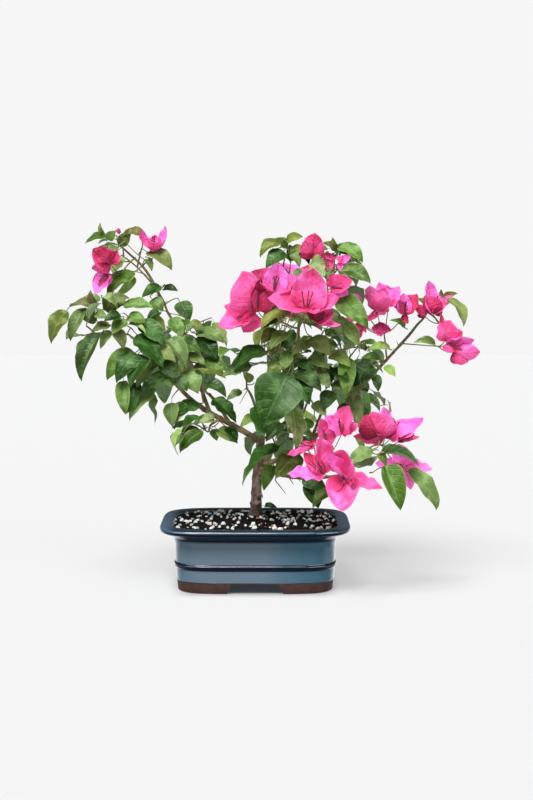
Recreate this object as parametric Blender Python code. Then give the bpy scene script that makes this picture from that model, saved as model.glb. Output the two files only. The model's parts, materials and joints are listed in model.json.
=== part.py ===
# A flowering bougainvillea bonsai in a glazed rectangular pot, +Z up, in metres.
# Tables are in millimetres from the pot's middle at its underside, and MM makes them metres.
import math
import random

import bmesh
import bpy
from mathutils import Matrix, Vector
from mathutils.bvhtree import BVHTree

MM = 0.001
GAP = 0.3 * MM
GOLDEN = math.radians(137.508)
WELD = 0.001 * MM
UP = Vector((0, 0, 1))

# The pot is a superellipse in plan: (height, inset from the rim's outline) in millimetres.
RIM_LENGTH = 200 * MM
RIM_DEPTH = 156 * MM
PLAN_POWER = 4.6
PLAN_POINTS = 28
POT_OUTSIDE = ((0, 18.5), (11, 17.5), (24, 16.2), (25.2, 14.6), (28.4, 14.6), (29.6, 16),
               (48, 15.6), (55.5, 13.8), (59.5, 9.5), (61, 2.5), (63, 0), (66, 0), (68, 2))
POT_INSIDE = ((68, 12), (66.5, 13.8), (60, 19.3), (17, 23))
FOOT_HEIGHT = 10 * MM
FRONT_CHANNEL = (60 * MM, 49 * MM)
SIDE_CHANNEL = (42 * MM, 34 * MM)

# The soil fills the pot to just under its rim and rises to a flat round seat under the trunk.
SOIL_CLEAR = 0.35
SOIL_EDGE = (66, 14.2)
SOIL_SEAT = 70 * MM
SEAT_RADIUS = 11 * MM
SOIL_RINGS = (0.3, 0.62, 0.85)

# Trunk knots: (x, y, z, radius). The first two keep its cut level.
TRUNK = ((0, 12, 70.3, 9.2), (0, 12, 72.3, 7.6), (0.5, 11.5, 79, 6.1), (1, 11, 93, 5.5),
         (2, 9, 115, 5.2), (5, 6, 144, 4.7), (6, 5, 156, 4.4))
TRUNK_SIDES = 12
FLARE_LOBES = 5
FLARE_DEPTH = 0.2
FLARE_HEIGHT = 12 * MM

# Each limb: parent, how far along it, a point it bends through, its tip, radius at root and tip.
LIMBS = {
    "left_bough": ("trunk", 0.93, (-26, -5, 170), (-54, -9, 186), 3.4, 2.6),
    "left_arm": ("left_bough", 1.0, (-80, -26, 211), (-104, -36, 242), 2.4, 1.8),
    "left_arm_end": ("left_arm", 1.0, (-116, -41, 255), (-127, -44, 264), 1.6, 1.3),
    "left_riser": ("left_bough", 0.9, (-65, 10, 225), (-83, 20, 266), 2.1, 1.6),
    "left_riser_end": ("left_riser", 1.0, (-93, 24, 287), (-106, 28, 311), 1.5, 1.1),
    "left_spur": ("left_bough", 0.72, (-44, -14, 172), (-48, -19, 167), 1.3, 1.0),
    "centre_bough": ("trunk", 1.0, (12, 10, 188), (36, 10, 222), 3.4, 2.4),
    "centre_riser": ("centre_bough", 1.0, (42, 7, 248), (46, 5, 276), 2.2, 1.6),
    "top_left_twig": ("centre_riser", 1.0, (47, 4, 296), (43, 2, 316), 1.4, 1.1),
    "top_right_twig": ("centre_riser", 0.93, (58, 9, 290), (73, 9, 308), 1.3, 1.0),
    "centre_left": ("trunk", 0.97, (0, -9, 188), (-7, -15, 206), 1.9, 1.2),
    "front_bough": ("centre_bough", 0.5, (15, -12, 199), (17, -27, 203), 1.7, 1.2),
    "right_bough": ("trunk", 0.62, (54, 19, 146), (104, 30, 196), 2.9, 2.1),
    "right_arm": ("right_bough", 1.0, (133, 27, 228), (163, 12, 263), 2.0, 1.3),
    "right_inner": ("right_bough", 0.36, (47, 11, 168), (59, 8, 202), 1.7, 1.1),
    "low_right": ("trunk", 0.6, (52, -29, 116), (103, -50, 125), 2.3, 1.3),
    "low_right_shoot": ("low_right", 0.92, (107, -49, 138), (116, -49, 148), 1.1, 0.9),
    "low_spur": ("low_right", 0.5, (56, -42, 120), (58, -50, 124), 1.2, 0.9),
    "low_twig": ("trunk", 0.5, (12, -6, 121), (18, -14, 125), 1.4, 1.0),
    "back_bough": ("trunk", 0.85, (14, 38, 182), (19, 56, 203), 2.5, 1.5),
    "back_left": ("left_bough", 0.55, (-46, 32, 194), (-64, 50, 206), 1.9, 1.2),
    "back_right": ("right_bough", 0.5, (73, 46, 180), (86, 60, 200), 1.8, 1.2),
    "back_low": ("trunk", 0.52, (10, 32, 126), (17, 42, 137), 1.6, 1.1),
}
LIMB_STEPS = 4
LIMB_WANDER = 0.7 * MM
THICK_LIMB = 2.2
THICK_SIDES = 8
THIN_SIDES = 6
JOINT_GAP = 0.36
JOINT_REACH = 2

# Each mass of leaves: limb, middle and half sizes of its space, twigs, longest leaf.
LEAF_MASSES = {
    "left_tip_leaves": ("left_arm_end", (-166, -50, 264), (58, 42, 52), 7, 52),
    "left_middle_leaves": ("left_arm", (-112, -36, 214), (58, 44, 50), 7, 54),
    "left_low_leaves": ("left_spur", (-64, -34, 172), (44, 36, 34), 4, 46),
    "left_shoulder_leaves": ("left_riser", (-66, 4, 250), (50, 44, 60), 7, 50),
    "upper_left_leaves": ("left_riser_end", (-132, 34, 336), (56, 44, 44), 6, 42),
    "centre_left_leaves": ("centre_left", (-8, -26, 232), (40, 36, 40), 5, 46),
    "centre_front_leaves": ("front_bough", (20, -56, 194), (44, 40, 46), 6, 58),
    "top_left_leaves": ("top_left_twig", (20, 6, 340), (34, 38, 40), 5, 38),
    "top_right_leaves": ("top_right_twig", (88, 16, 330), (44, 40, 40), 5, 40),
    "centre_upper_leaves": ("right_inner", (64, 0, 240), (44, 44, 48), 7, 48),
    "right_arm_leaves": ("right_bough", (112, 12, 208), (38, 44, 50), 6, 46),
    "right_tip_leaves": ("right_arm", (192, 2, 286), (38, 38, 38), 4, 44),
    "low_right_leaves": ("low_right", (142, -66, 118), (56, 44, 46), 6, 58),
    "low_centre_leaves": ("low_twig", (20, -36, 132), (38, 32, 42), 5, 46),
    "back_centre_leaves": ("back_bough", (20, 84, 236), (56, 44, 56), 7, 50),
    "back_left_leaves": ("back_left", (-86, 80, 226), (52, 42, 50), 5, 50),
    "back_right_leaves": ("back_right", (100, 86, 226), (48, 42, 52), 6, 48),
    "back_low_leaves": ("back_low", (30, 66, 148), (44, 36, 38), 4, 46),
}

# Each spray of blossom: limb, middle, and its heads as (x, y, z, bract length).
SPRAYS = {
    "centre_blossom": ("centre_riser", (48, -30, 298),
                       ((50, -60, 306, 44), (80, -44, 286, 32), (34, -30, 330, 30),
                        (76, -30, 318, 28))),
    "upper_left_blossom": ("left_riser_end", (-148, 6, 326),
                           ((-153, -2, 338, 29), (-160, 2, 319, 25))),
    "upper_tip_blossom": ("left_riser_end", (-108, 16, 348), ((-106, 8, 364, 27),)),
    "centre_left_blossom": ("centre_riser", (-4, -24, 296),
                            ((-10, -38, 314, 40), (-22, -38, 284, 36), (10, -52, 290, 32))),
    "top_blossom": ("top_right_twig", (74, -8, 338),
                    ((60, -16, 356, 24), (78, -16, 338, 26), (96, -12, 342, 26),
                     (99, -18, 318, 24))),
    "right_inner_blossom": ("right_arm", (134, 4, 288),
                            ((128, -8, 300, 30), (150, -8, 308, 30), (162, -4, 296, 28),
                             (136, -8, 268, 22), (106, -12, 270, 26))),
    "right_tip_blossom": ("right_arm", (200, -4, 276),
                          ((186, -14, 304, 30), (208, -18, 264, 32), (216, -18, 246, 30))),
    "low_centre_blossom": ("low_spur", (68, -66, 138),
                           ((60, -72, 165, 29), (90, -68, 171, 29), (66, -92, 138, 44),
                            (90, -84, 126, 42))),
    "low_right_blossom": ("low_right_shoot", (138, -46, 160),
                          ((128, -52, 168, 31), (160, -50, 178, 29), (162, -58, 158, 20),
                           (146, -44, 144, 34))),
    "back_blossom": ("back_bough", (34, 74, 300),
                     ((20, 84, 312, 38), (50, 80, 318, 38), (36, 96, 292, 36))),
}

# Stems and twigs: radii in millimetres, reaches as shares of the mass's half sizes.
STEM_RADIUS = 1.1
STEM_LEAD = 4 * MM
STEM_REACH = 0.4
STEM_PITCH = 2.5 * MM
STEM_STEPS = 3
TWIG_RADIUS = 0.95
TWIG_END_RADIUS = 0.65
TWIG_REACH = (0.47, 0.605)
TWIG_RISE = 0.22
TWIG_LIFT = 3 * MM
TWIG_LEAN = 0.25
TWIG_ROOTS = (0.2, 0.92)

# Leaves: how they are spaced on a twig, how they leave it, and their shape by length.
LEAF_SPACING = 8.8 * MM
LEAF_START = 0.2
STEM_LEAF_START = 0.45
LAST_LEAF = 0.985
LEAF_FORWARD = (0.2, 0.7)
LEAF_HANG = (0.4, 1.5)
LEAF_SWAY = 0.4
LEAF_ROLL = 0.5
LEAF_SIZES = (0.85, 1.0)
LEAF_WIDTH = 0.62
LEAF_DROOP = 0.12
LEAF_FOLD = 0.06
LEAF_THICKNESS = 0.9 * MM
ROOT_DEPTH = 0.5 * MM
UPPER_MIDDLE = 0.42
KEEL_MIDDLE = 0.24
LEAF_OUTLINE = ((0.36, 1.0), (0.72, 0.62))
LEAF_TRIES = (1.0, 0.95, 0.88, 0.8, 0.7)
ROOT_ZONE = 3 * MM
SPACE_MARGIN = 1.6 * MM
SPACE_OVERRUN = 7 * MM
LIMB_MARGIN = 1.0 * MM
LOWEST_LEAF = 84 * MM

# Flowers: bract shape by length, the way a head faces, and its stalk.
BRACT_WIDTH = 0.84
BRACT_THICKNESS = 1.8 * MM
BRACT_NOTCH = 0.12
BRACT_CURL = 0.1
BRACT_OUTLINE = ((0.36, 0.95), (0.7, 0.8))
BRACT_OPENING = math.radians(58)
HEAD_DEPTH = 0.3
HEAD_FORWARD = 0.55
HEAD_RISE = 0.15
HUB_SHARE = 0.6
HUB_DROP = 4 * MM
STALK_SEAT = 4.5 * MM
STALK_ELBOW = 3 * MM
STALK_SAG = 2 * MM
STALK_RADII = (0.75, 0.7, 0.65, 0.6)
FLOWER_TRIES = (1.05, 1.0, 0.95, 0.9, 0.95, 0.85, 0.9, 0.8, 0.75, 0.7)

for item in list(bpy.data.objects):
    bpy.data.objects.remove(item)

plant = bpy.data.collections.new("bougainvillea_bonsai")
cutters = bpy.data.collections.new("cutters")
bpy.context.scene.collection.children.link(plant)
bpy.context.scene.collection.children.link(cutters)


def make_material(name, colour, roughness):
    material = bpy.data.materials.new(name)
    material.use_nodes = True
    shader = material.node_tree.nodes["Principled BSDF"]
    shader.inputs["Base Color"].default_value = (*colour, 1)
    shader.inputs["Roughness"].default_value = roughness
    shader.inputs["Metallic"].default_value = 0
    material.diffuse_color = (*colour, 1)
    return material


def add_part(name, mesh, material):
    mesh.name = name
    mesh.materials.clear()
    mesh.materials.append(material)
    part = bpy.data.objects.new(name, mesh)
    plant.objects.link(part)
    return part


def millimetres(place):
    return Vector(place) * MM


def mesh_from(bm):
    bmesh.ops.recalc_face_normals(bm, faces=bm.faces)
    mesh = bpy.data.meshes.new("solid")
    bm.to_mesh(mesh)
    bm.free()
    return mesh


def evaluated_mesh(holder):
    bpy.context.view_layer.update()
    depsgraph = bpy.context.evaluated_depsgraph_get()
    return bpy.data.meshes.new_from_object(holder.evaluated_get(depsgraph))


def welded(mesh):
    # Joins a tube's loose caps to its wall.
    bm = bmesh.new()
    bm.from_mesh(mesh)
    bmesh.ops.remove_doubles(bm, verts=bm.verts, dist=WELD)
    return mesh_from(bm)


def largest_body(mesh):
    # Keeps the biggest joined body and drops loose scraps.
    bm = bmesh.new()
    bm.from_mesh(mesh)
    unseen = set(bm.verts)
    bodies = []
    while unseen:
        body = set()
        edge_of_body = [unseen.pop()]
        while edge_of_body:
            vertex = edge_of_body.pop()
            body.add(vertex)
            for link in vertex.link_edges:
                other = link.other_vert(vertex)
                if other in unseen:
                    unseen.discard(other)
                    edge_of_body.append(other)
        bodies.append(body)
    bodies.sort(key=len)
    scrap = [vertex for body in bodies[:-1] for vertex in body]
    bmesh.ops.delete(bm, geom=scrap, context="VERTS")
    kept = bpy.data.meshes.new("solid")
    bm.to_mesh(kept)
    bm.free()
    return kept


def combine(mesh, others, operation):
    # One Boolean against a collection, applied; the collection's objects are then removed.
    holder = bpy.data.objects.new("holder", mesh)
    cutters.objects.link(holder)
    group = bpy.data.collections.new("group")
    bpy.context.scene.collection.children.link(group)
    for other in others:
        group.objects.link(bpy.data.objects.new("member", other))
    modifier = holder.modifiers.new("combine", "BOOLEAN")
    modifier.operation = operation
    modifier.operand_type = "COLLECTION"
    modifier.collection = group
    modifier.solver = "EXACT"
    result = evaluated_mesh(holder)
    for member in list(group.objects):
        bpy.data.objects.remove(member)
    bpy.data.collections.remove(group)
    bpy.data.objects.remove(holder)
    return largest_body(result)


def plan_loop(inset, height):
    # One level of the pot: a superellipse that many millimetres inside the rim's outline.
    half_x = RIM_LENGTH / 2 - inset * MM
    half_y = RIM_DEPTH / 2 - inset * MM
    power = 2 / PLAN_POWER
    loop = []
    for step in range(PLAN_POINTS):
        turn = 2 * math.pi * step / PLAN_POINTS
        x = math.copysign(abs(math.cos(turn)) ** power, math.cos(turn)) * half_x
        y = math.copysign(abs(math.sin(turn)) ** power, math.sin(turn)) * half_y
        loop.append(Vector((x, y, height * MM)))
    return loop


def loft(loops):
    # Joins loops of equal count into one closed body, capped at both ends.
    bm = bmesh.new()
    rows = [[bm.verts.new(place) for place in loop] for loop in loops]
    count = len(rows[0])
    for lower, upper in zip(rows, rows[1:]):
        for step in range(count):
            after = (step + 1) % count
            bm.faces.new((lower[step], lower[after], upper[after], upper[step]))
    bm.faces.new(rows[0])
    bm.faces.new(rows[-1])
    return mesh_from(bm)


def channel_cutter(widths, along_x):
    # A trapezium bar under the pot, wider at the bottom, that runs past both faces.
    bm = bmesh.new()
    bmesh.ops.create_cube(bm, size=1)
    overrun = 2 * MM
    for vertex in bm.verts:
        top = vertex.co.z > 0
        side = vertex.co.x * (widths[1] if top else widths[0])
        end = vertex.co.y * (RIM_LENGTH + overrun)
        height = FOOT_HEIGHT if top else -overrun
        vertex.co = (end, side, height) if along_x else (side, end, height)
    return mesh_from(bm)


def build_pot():
    loops = [plan_loop(inset, height) for height, inset in POT_OUTSIDE + POT_INSIDE]
    channels = [channel_cutter(FRONT_CHANNEL, False), channel_cutter(SIDE_CHANNEL, True)]
    return combine(loft(loops), channels, "DIFFERENCE")


def build_soil():
    (wall_height, wall_inset), (floor_height, floor_inset) = POT_INSIDE[2:]
    edge_height, edge_inset = SOIL_EDGE
    edge = plan_loop(edge_inset + SOIL_CLEAR, edge_height)
    loops = [plan_loop(floor_inset + SOIL_CLEAR, floor_height + SOIL_CLEAR),
             plan_loop(wall_inset + SOIL_CLEAR, wall_height), edge]
    foot = Vector((TRUNK[0][0], TRUNK[0][1], 0)) * MM
    seat = []
    for place in edge:
        turn = math.atan2(place.y, place.x)
        seat.append(foot + Vector((math.cos(turn), math.sin(turn), 0)) * SEAT_RADIUS)
    for share in SOIL_RINGS:
        rise = edge_height * MM + (SOIL_SEAT - edge_height * MM) * math.sin(share * math.pi / 2)
        ring = [outer.lerp(inner, share) for outer, inner in zip(edge, seat)]
        loops.append([Vector((place.x, place.y, rise)) for place in ring])
    loops.append([Vector((place.x, place.y, SOIL_SEAT)) for place in seat])
    return loft(loops)


def make_profile():
    # The three-sided section that twigs are swept with.
    curve = bpy.data.curves.new("twig_section", "CURVE")
    spline = curve.splines.new("POLY")
    spline.points.add(2)
    for step, knot in enumerate(spline.points):
        turn = 2 * math.pi * step / 3
        knot.co = (MM * math.cos(turn), MM * math.sin(turn), 0, 1)
    spline.use_cyclic_u = True
    profile = bpy.data.objects.new("twig_section", curve)
    cutters.objects.link(profile)
    return profile


def tube(points, radii, sides):
    # A tapered tube, with its radii in millimetres.
    curve = bpy.data.curves.new("tube", "CURVE")
    curve.dimensions = "3D"
    curve.use_fill_caps = True
    if sides == 3:
        curve.bevel_mode = "OBJECT"
        curve.bevel_object = twig_profile
    else:
        curve.bevel_depth = MM
        curve.bevel_resolution = sides // 2 - 2
    spline = curve.splines.new("POLY")
    spline.points.add(len(points) - 1)
    for knot, place, radius in zip(spline.points, points, radii):
        knot.co = (*place, 1)
        knot.radius = radius
    holder = bpy.data.objects.new("tube", curve)
    cutters.objects.link(holder)
    mesh = evaluated_mesh(holder)
    bpy.data.objects.remove(holder)
    bpy.data.curves.remove(curve)
    return welded(mesh)


def path_length(path):
    return sum((after - before).length for before, after in zip(path, path[1:]))


def point_along(path, share):
    # The place and heading at a share of a path's length.
    lengths = [(after - before).length for before, after in zip(path, path[1:])]
    wanted = share * sum(lengths)
    passed = 0
    for before, after, length in zip(path, path[1:], lengths):
        if passed + length >= wanted:
            break
        passed += length
    else:
        passed -= length
    heading = (after - before).normalized()
    return before + heading * min(wanted - passed, length), heading


def bend(start, middle, end, steps):
    # A smooth path through three places.
    path = []
    for step in range(steps + 1):
        t = step / steps
        path.append(start * (2 * t - 1) * (t - 1) + middle * 4 * t * (1 - t) + end * t * (2 * t - 1))
    return path


def limb_paths():
    # The centre line and radii of the trunk and of every limb.
    paths = {"trunk": [millimetres(knot[:3]) for knot in TRUNK]}
    radii = {"trunk": [knot[3] for knot in TRUNK]}
    for name, (parent, share, middle, tip, root_radius, tip_radius) in LIMBS.items():
        rng = random.Random(name)
        start, heading = point_along(paths[parent], share)
        if share == 1.0:
            start = start - heading * MM
        path = bend(start, millimetres(middle), millimetres(tip), LIMB_STEPS)
        for knot in path[1:-1]:
            knot += Vector([rng.uniform(-LIMB_WANDER, LIMB_WANDER) for _ in range(3)])
        paths[name] = path
        taper = tip_radius - root_radius
        radii[name] = [root_radius + taper * step / LIMB_STEPS for step in range(LIMB_STEPS + 1)]
    return paths, radii


def limb_mesh(name, extra):
    # A limb's tube, grown by extra millimetres all round and at its tip.
    path = list(paths[name])
    grown = [radius + extra for radius in radii[name]]
    heading = (path[-1] - path[-2]).normalized()
    path[-1] = path[-1] + heading * extra * MM
    if name == "trunk":
        return tube(path, grown, TRUNK_SIDES)
    return tube(path, grown, THICK_SIDES if radii[name][0] > THICK_LIMB else THIN_SIDES)


def limbs_meet(first, second):
    reach = (max(radii[first]) + max(radii[second]) + JOINT_REACH) * MM
    for near in paths[first]:
        for before, after in zip(paths[second], paths[second][1:]):
            for share in (0, 0.25, 0.5, 0.75, 1):
                if (near - before.lerp(after, share)).length < reach:
                    return True
    return False


def add_root_flare(mesh):
    # Lobes round the trunk's foot that fade out with height.
    foot = millimetres(TRUNK[0][:3])
    for vertex in mesh.vertices:
        fade = max(0, 1 - (vertex.co.z - foot.z) / FLARE_HEIGHT)
        offset = vertex.co - foot
        turn = math.atan2(offset.y, offset.x)
        swell = 1 + FLARE_DEPTH * fade * math.cos(FLARE_LOBES * turn)
        vertex.co.x = foot.x + offset.x * swell
        vertex.co.y = foot.y + offset.y * swell


def build_limbs():
    # Each limb leaves its parent, and anything it would touch, by the clear joint.
    made = []
    grown_trees = []
    for name in paths:
        solid = limb_mesh(name, 0)
        neighbours = [limb_mesh(other, JOINT_GAP) for other in made if limbs_meet(name, other)]
        if neighbours:
            solid = combine(solid, neighbours, "DIFFERENCE")
        if name == "trunk":
            add_root_flare(solid)
        add_part(name, solid, bark)
        made.append(name)
        grown_trees.append(tree_of(limb_mesh(name, LIMB_MARGIN / MM)))
    return grown_trees


def tree_of(mesh):
    corners = [vertex.co.copy() for vertex in mesh.vertices]
    return BVHTree.FromPolygons(corners, [tuple(face.vertices) for face in mesh.polygons])


def beyond(space, place):
    # How far a place lies outside a space, in metres; less than nothing inside it.
    middle, half = space
    offset = place - middle
    level = math.sqrt(sum((offset[axis] / half[axis]) ** 2 for axis in range(3)))
    return (level - 1) * sum(half) / 3


def in_own_space(name, place):
    own = beyond(spaces[name], place)
    if own > SPACE_OVERRUN or place.z < LOWEST_LEAF:
        return False
    others = (space for other, space in spaces.items() if other != name)
    return all(own + SPACE_MARGIN < beyond(space, place) for space in others)


def fan_solid(rim, upper, lower):
    # A thin closed body: a coarse sphere whose one ring becomes the rim and whose poles the middles.
    bm = bmesh.new()
    bmesh.ops.create_uvsphere(bm, u_segments=len(rim), v_segments=2, radius=1)
    ring = [vertex for vertex in bm.verts if abs(vertex.co.z) < 0.5]
    ring.sort(key=lambda vertex: math.atan2(vertex.co.y, vertex.co.x))
    bottom, top = sorted((vertex for vertex in bm.verts if vertex not in ring),
                         key=lambda vertex: vertex.co.z)
    bottom.co = lower
    top.co = upper
    for vertex, place in zip(ring, rim):
        vertex.co = place
    return mesh_from(bm)


def leaf_solid(place, heading, upward, length):
    # A drooping pointed leaf, folded up a little on both sides of its midrib.
    x_axis = heading.normalized()
    z_axis = (upward - x_axis * upward.dot(x_axis)).normalized()
    turn = Matrix((x_axis, z_axis.cross(x_axis), z_axis)).transposed()

    def local(share, half, lift):
        sag = LEAF_DROOP * share * share * length
        return place + turn @ Vector((share * length, half * LEAF_WIDTH * length / 2, lift - sag))

    fold = LEAF_FOLD * length
    rim = [local(-ROOT_DEPTH / length, 0, 0)]
    rim += [local(share, -half, half * fold) for share, half in LEAF_OUTLINE]
    rim.append(local(1, 0, 0))
    rim += [local(share, half, half * fold) for share, half in reversed(LEAF_OUTLINE)]
    return fan_solid(rim, local(UPPER_MIDDLE, 0, 0), local(KEEL_MIDDLE, 0, -LEAF_THICKNESS))


def flower_solid(place, axis, phase, length):
    # Three pointed bracts round a shared middle, opening by an angle from their axis.
    across = axis.orthogonal().normalized()
    rim = []
    for step in range(3):
        side = Matrix.Rotation(phase + step * 2 * math.pi / 3, 3, axis) @ across
        tangent = axis.cross(side)
        along = axis * math.cos(BRACT_OPENING) + side * math.sin(BRACT_OPENING)
        notch = side - tangent * math.tan(math.pi / 3)
        notch = axis * math.cos(BRACT_OPENING) + notch.normalized() * math.sin(BRACT_OPENING)
        rim.append(place + notch * BRACT_NOTCH * length)
        lobe = [(share, -half) for share, half in BRACT_OUTLINE] + [(1, 0)]
        lobe += [(share, half) for share, half in reversed(BRACT_OUTLINE)]
        for share, half in lobe:
            curl = axis * BRACT_CURL * share * share * length
            rim.append(place + along * share * length + curl
                       + tangent * half * BRACT_WIDTH * length / 2)
    offset = axis * BRACT_THICKNESS / 2
    return fan_solid(rim, place + offset, place - offset)


def touches(mesh, trees):
    tree = tree_of(mesh)
    return any(other.overlap(tree) for other in trees)


def fits(name, leaf, root, blades):
    if touches(leaf, obstacles + blades):
        return False
    corners = [vertex.co for vertex in leaf.vertices if (vertex.co - root).length > ROOT_ZONE]
    return all(in_own_space(name, corner) for corner in corners)


def stem_start(limb, middle, taken):
    # The first stem goes on from the limb's tip, and later ones leave its side close behind.
    tip, heading = point_along(paths[limb], 1.0)
    if not taken:
        return tip + heading * GAP, heading
    root, heading = point_along(paths[limb], 1 - STEM_PITCH * taken / path_length(paths[limb]))
    side = middle - root
    side = (side - heading * side.dot(heading)).normalized()
    return root + side * (radii[limb][-2] * MM + GAP), side


def spread(count, phase):
    # Evenly spread directions, turned by the golden angle.
    for step in range(count):
        height = 1 - (2 * step + 1) / count
        ring = math.sqrt(1 - height * height)
        turn = phase + step * GOLDEN
        yield Vector((ring * math.cos(turn), ring * math.sin(turn), height))


def twig_paths(name, limb, middle, half, count, rng):
    # A stem through the space and the twigs that leave it for evenly spread ends.
    start, heading = stem_start(limb, middle, stems_on[limb])
    stems_on[limb] += 1
    first = start + heading * STEM_LEAD
    far = middle + (middle - start).normalized() * min(half) * STEM_REACH
    stem = [start] + bend(first, first.lerp(far, 0.5) + UP * TWIG_LIFT, far, STEM_STEPS)
    twigs = [stem]
    for direction in spread(count, rng.uniform(0, 2 * math.pi)):
        direction = direction * rng.uniform(*TWIG_REACH) + UP * TWIG_RISE
        end = middle + Vector([direction[axis] * half[axis] for axis in range(3)])
        ahead = (end - start).dot(far - start) / (far - start).length_squared
        root, _ = point_along(stem, min(TWIG_ROOTS[1], max(TWIG_ROOTS[0], ahead - TWIG_LEAN)))
        twig = bend(root, root.lerp(end, 0.5) + UP * TWIG_LIFT, end, 2)
        if all(in_own_space(name, place) for place in twig[1:]):
            twigs.append(twig)
    return twigs


def leaf_places(twig, rng, is_stem):
    # Places along a twig, each with a few ways for a leaf to leave it and its size.
    start = STEM_LEAF_START if is_stem else LEAF_START
    count = max(2, round(path_length(twig) * (1 - start) / LEAF_SPACING))
    phase = rng.uniform(0, 2 * math.pi)
    for step in range(count):
        share = start + (1 - start) * (step + 0.9) / count
        place, heading = point_along(twig, min(share, LAST_LEAF))
        across = heading.cross(UP).normalized()
        side = Matrix.Rotation(phase + step * GOLDEN, 3, heading) @ across
        choices = []
        for shrink in LEAF_TRIES:
            outward = side + heading * rng.uniform(*LEAF_FORWARD) - UP * rng.uniform(*LEAF_HANG)
            outward += across * rng.uniform(-LEAF_SWAY, LEAF_SWAY)
            upward = UP + outward.cross(UP) * rng.uniform(-LEAF_ROLL, LEAF_ROLL)
            choices.append((outward.normalized(), upward, shrink * rng.uniform(*LEAF_SIZES)))
        yield place, choices


def grow_leaves(name):
    limb, middle, half, count, longest = LEAF_MASSES[name]
    rng = random.Random(name)
    middle = millimetres(middle)
    half = millimetres(half)
    twigs = twig_paths(name, limb, middle, half, count, rng)
    members = []
    blades = []
    for order, twig in enumerate(twigs):
        root_radius = STEM_RADIUS if order == 0 else TWIG_RADIUS
        taper = (TWIG_END_RADIUS - root_radius) / (len(twig) - 1)
        solid = tube(twig, [root_radius + taper * step for step in range(len(twig))], 3)
        if order and touches(solid, obstacles):
            continue
        members.append(solid)
        for place, choices in leaf_places(twig, rng, order == 0):
            for outward, upward, size in choices:
                leaf = leaf_solid(place, outward, upward, longest * MM * size)
                if fits(name, leaf, place, blades):
                    members.append(leaf)
                    blades.append(tree_of(leaf))
                    break
    return members


def grow_blossom(name):
    limb, middle, heads = SPRAYS[name]
    rng = random.Random(name)
    middle = millimetres(middle)
    start, heading = stem_start(limb, middle, stems_on[limb])
    stems_on[limb] += 1
    first = start + heading * STEM_LEAD
    hub = first.lerp(middle, HUB_SHARE) - UP * HUB_DROP
    stem = [start] + bend(first, first.lerp(hub, 0.5) + UP * MM, hub, 2)
    members = [tube(stem, [STEM_RADIUS] * 3 + [TWIG_RADIUS], 3)]
    for x, y, z, bract_length in heads:
        centre = millimetres((x, y, z))
        forward = math.copysign(HEAD_FORWARD, centre.y)
        axis = ((centre - hub).normalized() + Vector((0, forward, HEAD_RISE))).normalized()
        head = centre - axis * HEAD_DEPTH * bract_length * MM
        for shrink in FLOWER_TRIES:
            phase = rng.uniform(0, 2 * math.pi)
            flower = flower_solid(head, axis, phase, bract_length * MM * shrink)
            if not touches(flower, obstacles):
                side = Matrix.Rotation(phase, 3, axis) @ axis.orthogonal().normalized()
                out = axis * math.cos(BRACT_OPENING) + side * math.sin(BRACT_OPENING)
                seat = head + out * STALK_SEAT
                elbow = seat - axis * STALK_ELBOW
                stalk = bend(hub, hub.lerp(elbow, 0.5) - UP * STALK_SAG, elbow, 2) + [seat]
                members.append(tube(stalk, STALK_RADII, 3))
                members.append(flower)
                break
    return members


bark = make_material("bark", (0.17, 0.125, 0.085), 0.85)
leaf_green = make_material("leaf", (0.075, 0.2, 0.03), 0.45)
bract_pink = make_material("bract", (0.82, 0.03, 0.22), 0.55)
glaze = make_material("glaze", (0.03, 0.075, 0.115), 0.12)
soil_brown = make_material("soil", (0.025, 0.018, 0.013), 0.95)

add_part("pot", build_pot(), glaze)
add_part("soil", build_soil(), soil_brown)

twig_profile = make_profile()
paths, radii = limb_paths()
obstacles = build_limbs()

spaces = {}
for name, (_, middle, half, _, _) in LEAF_MASSES.items():
    spaces[name] = (millimetres(middle), millimetres(half))
stems_on = dict.fromkeys(paths, 0)
for parent, share, *_ in LIMBS.values():
    stems_on[parent] += share == 1.0

for name in SPRAYS:
    members = grow_blossom(name)
    spray = combine(members[0], members[1:], "UNION")
    add_part(name, spray, bract_pink)
    obstacles.append(tree_of(spray))
for name in LEAF_MASSES:
    members = grow_leaves(name)
    add_part(name, combine(members[0], members[1:], "UNION"), leaf_green)
bpy.data.objects.remove(twig_profile)

# The origin goes to the middle of the whole plant's box, at the pot's underside.
corners = [vertex.co for part in plant.objects for vertex in part.data.vertices]
centre_x = (min(corner.x for corner in corners) + max(corner.x for corner in corners)) / 2
centre_y = (min(corner.y for corner in corners) + max(corner.y for corner in corners)) / 2
plant_origin = bpy.data.objects.new("plant_origin", None)
plant.objects.link(plant_origin)
plant_origin.location = (-centre_x, -centre_y, 0)
for part in plant.objects:
    if part != plant_origin:
        part.parent = plant_origin
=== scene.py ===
import json
import math
import random

import bmesh
import bpy
from mathutils import Matrix, Vector, noise
from mathutils.bvhtree import BVHTree

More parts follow.
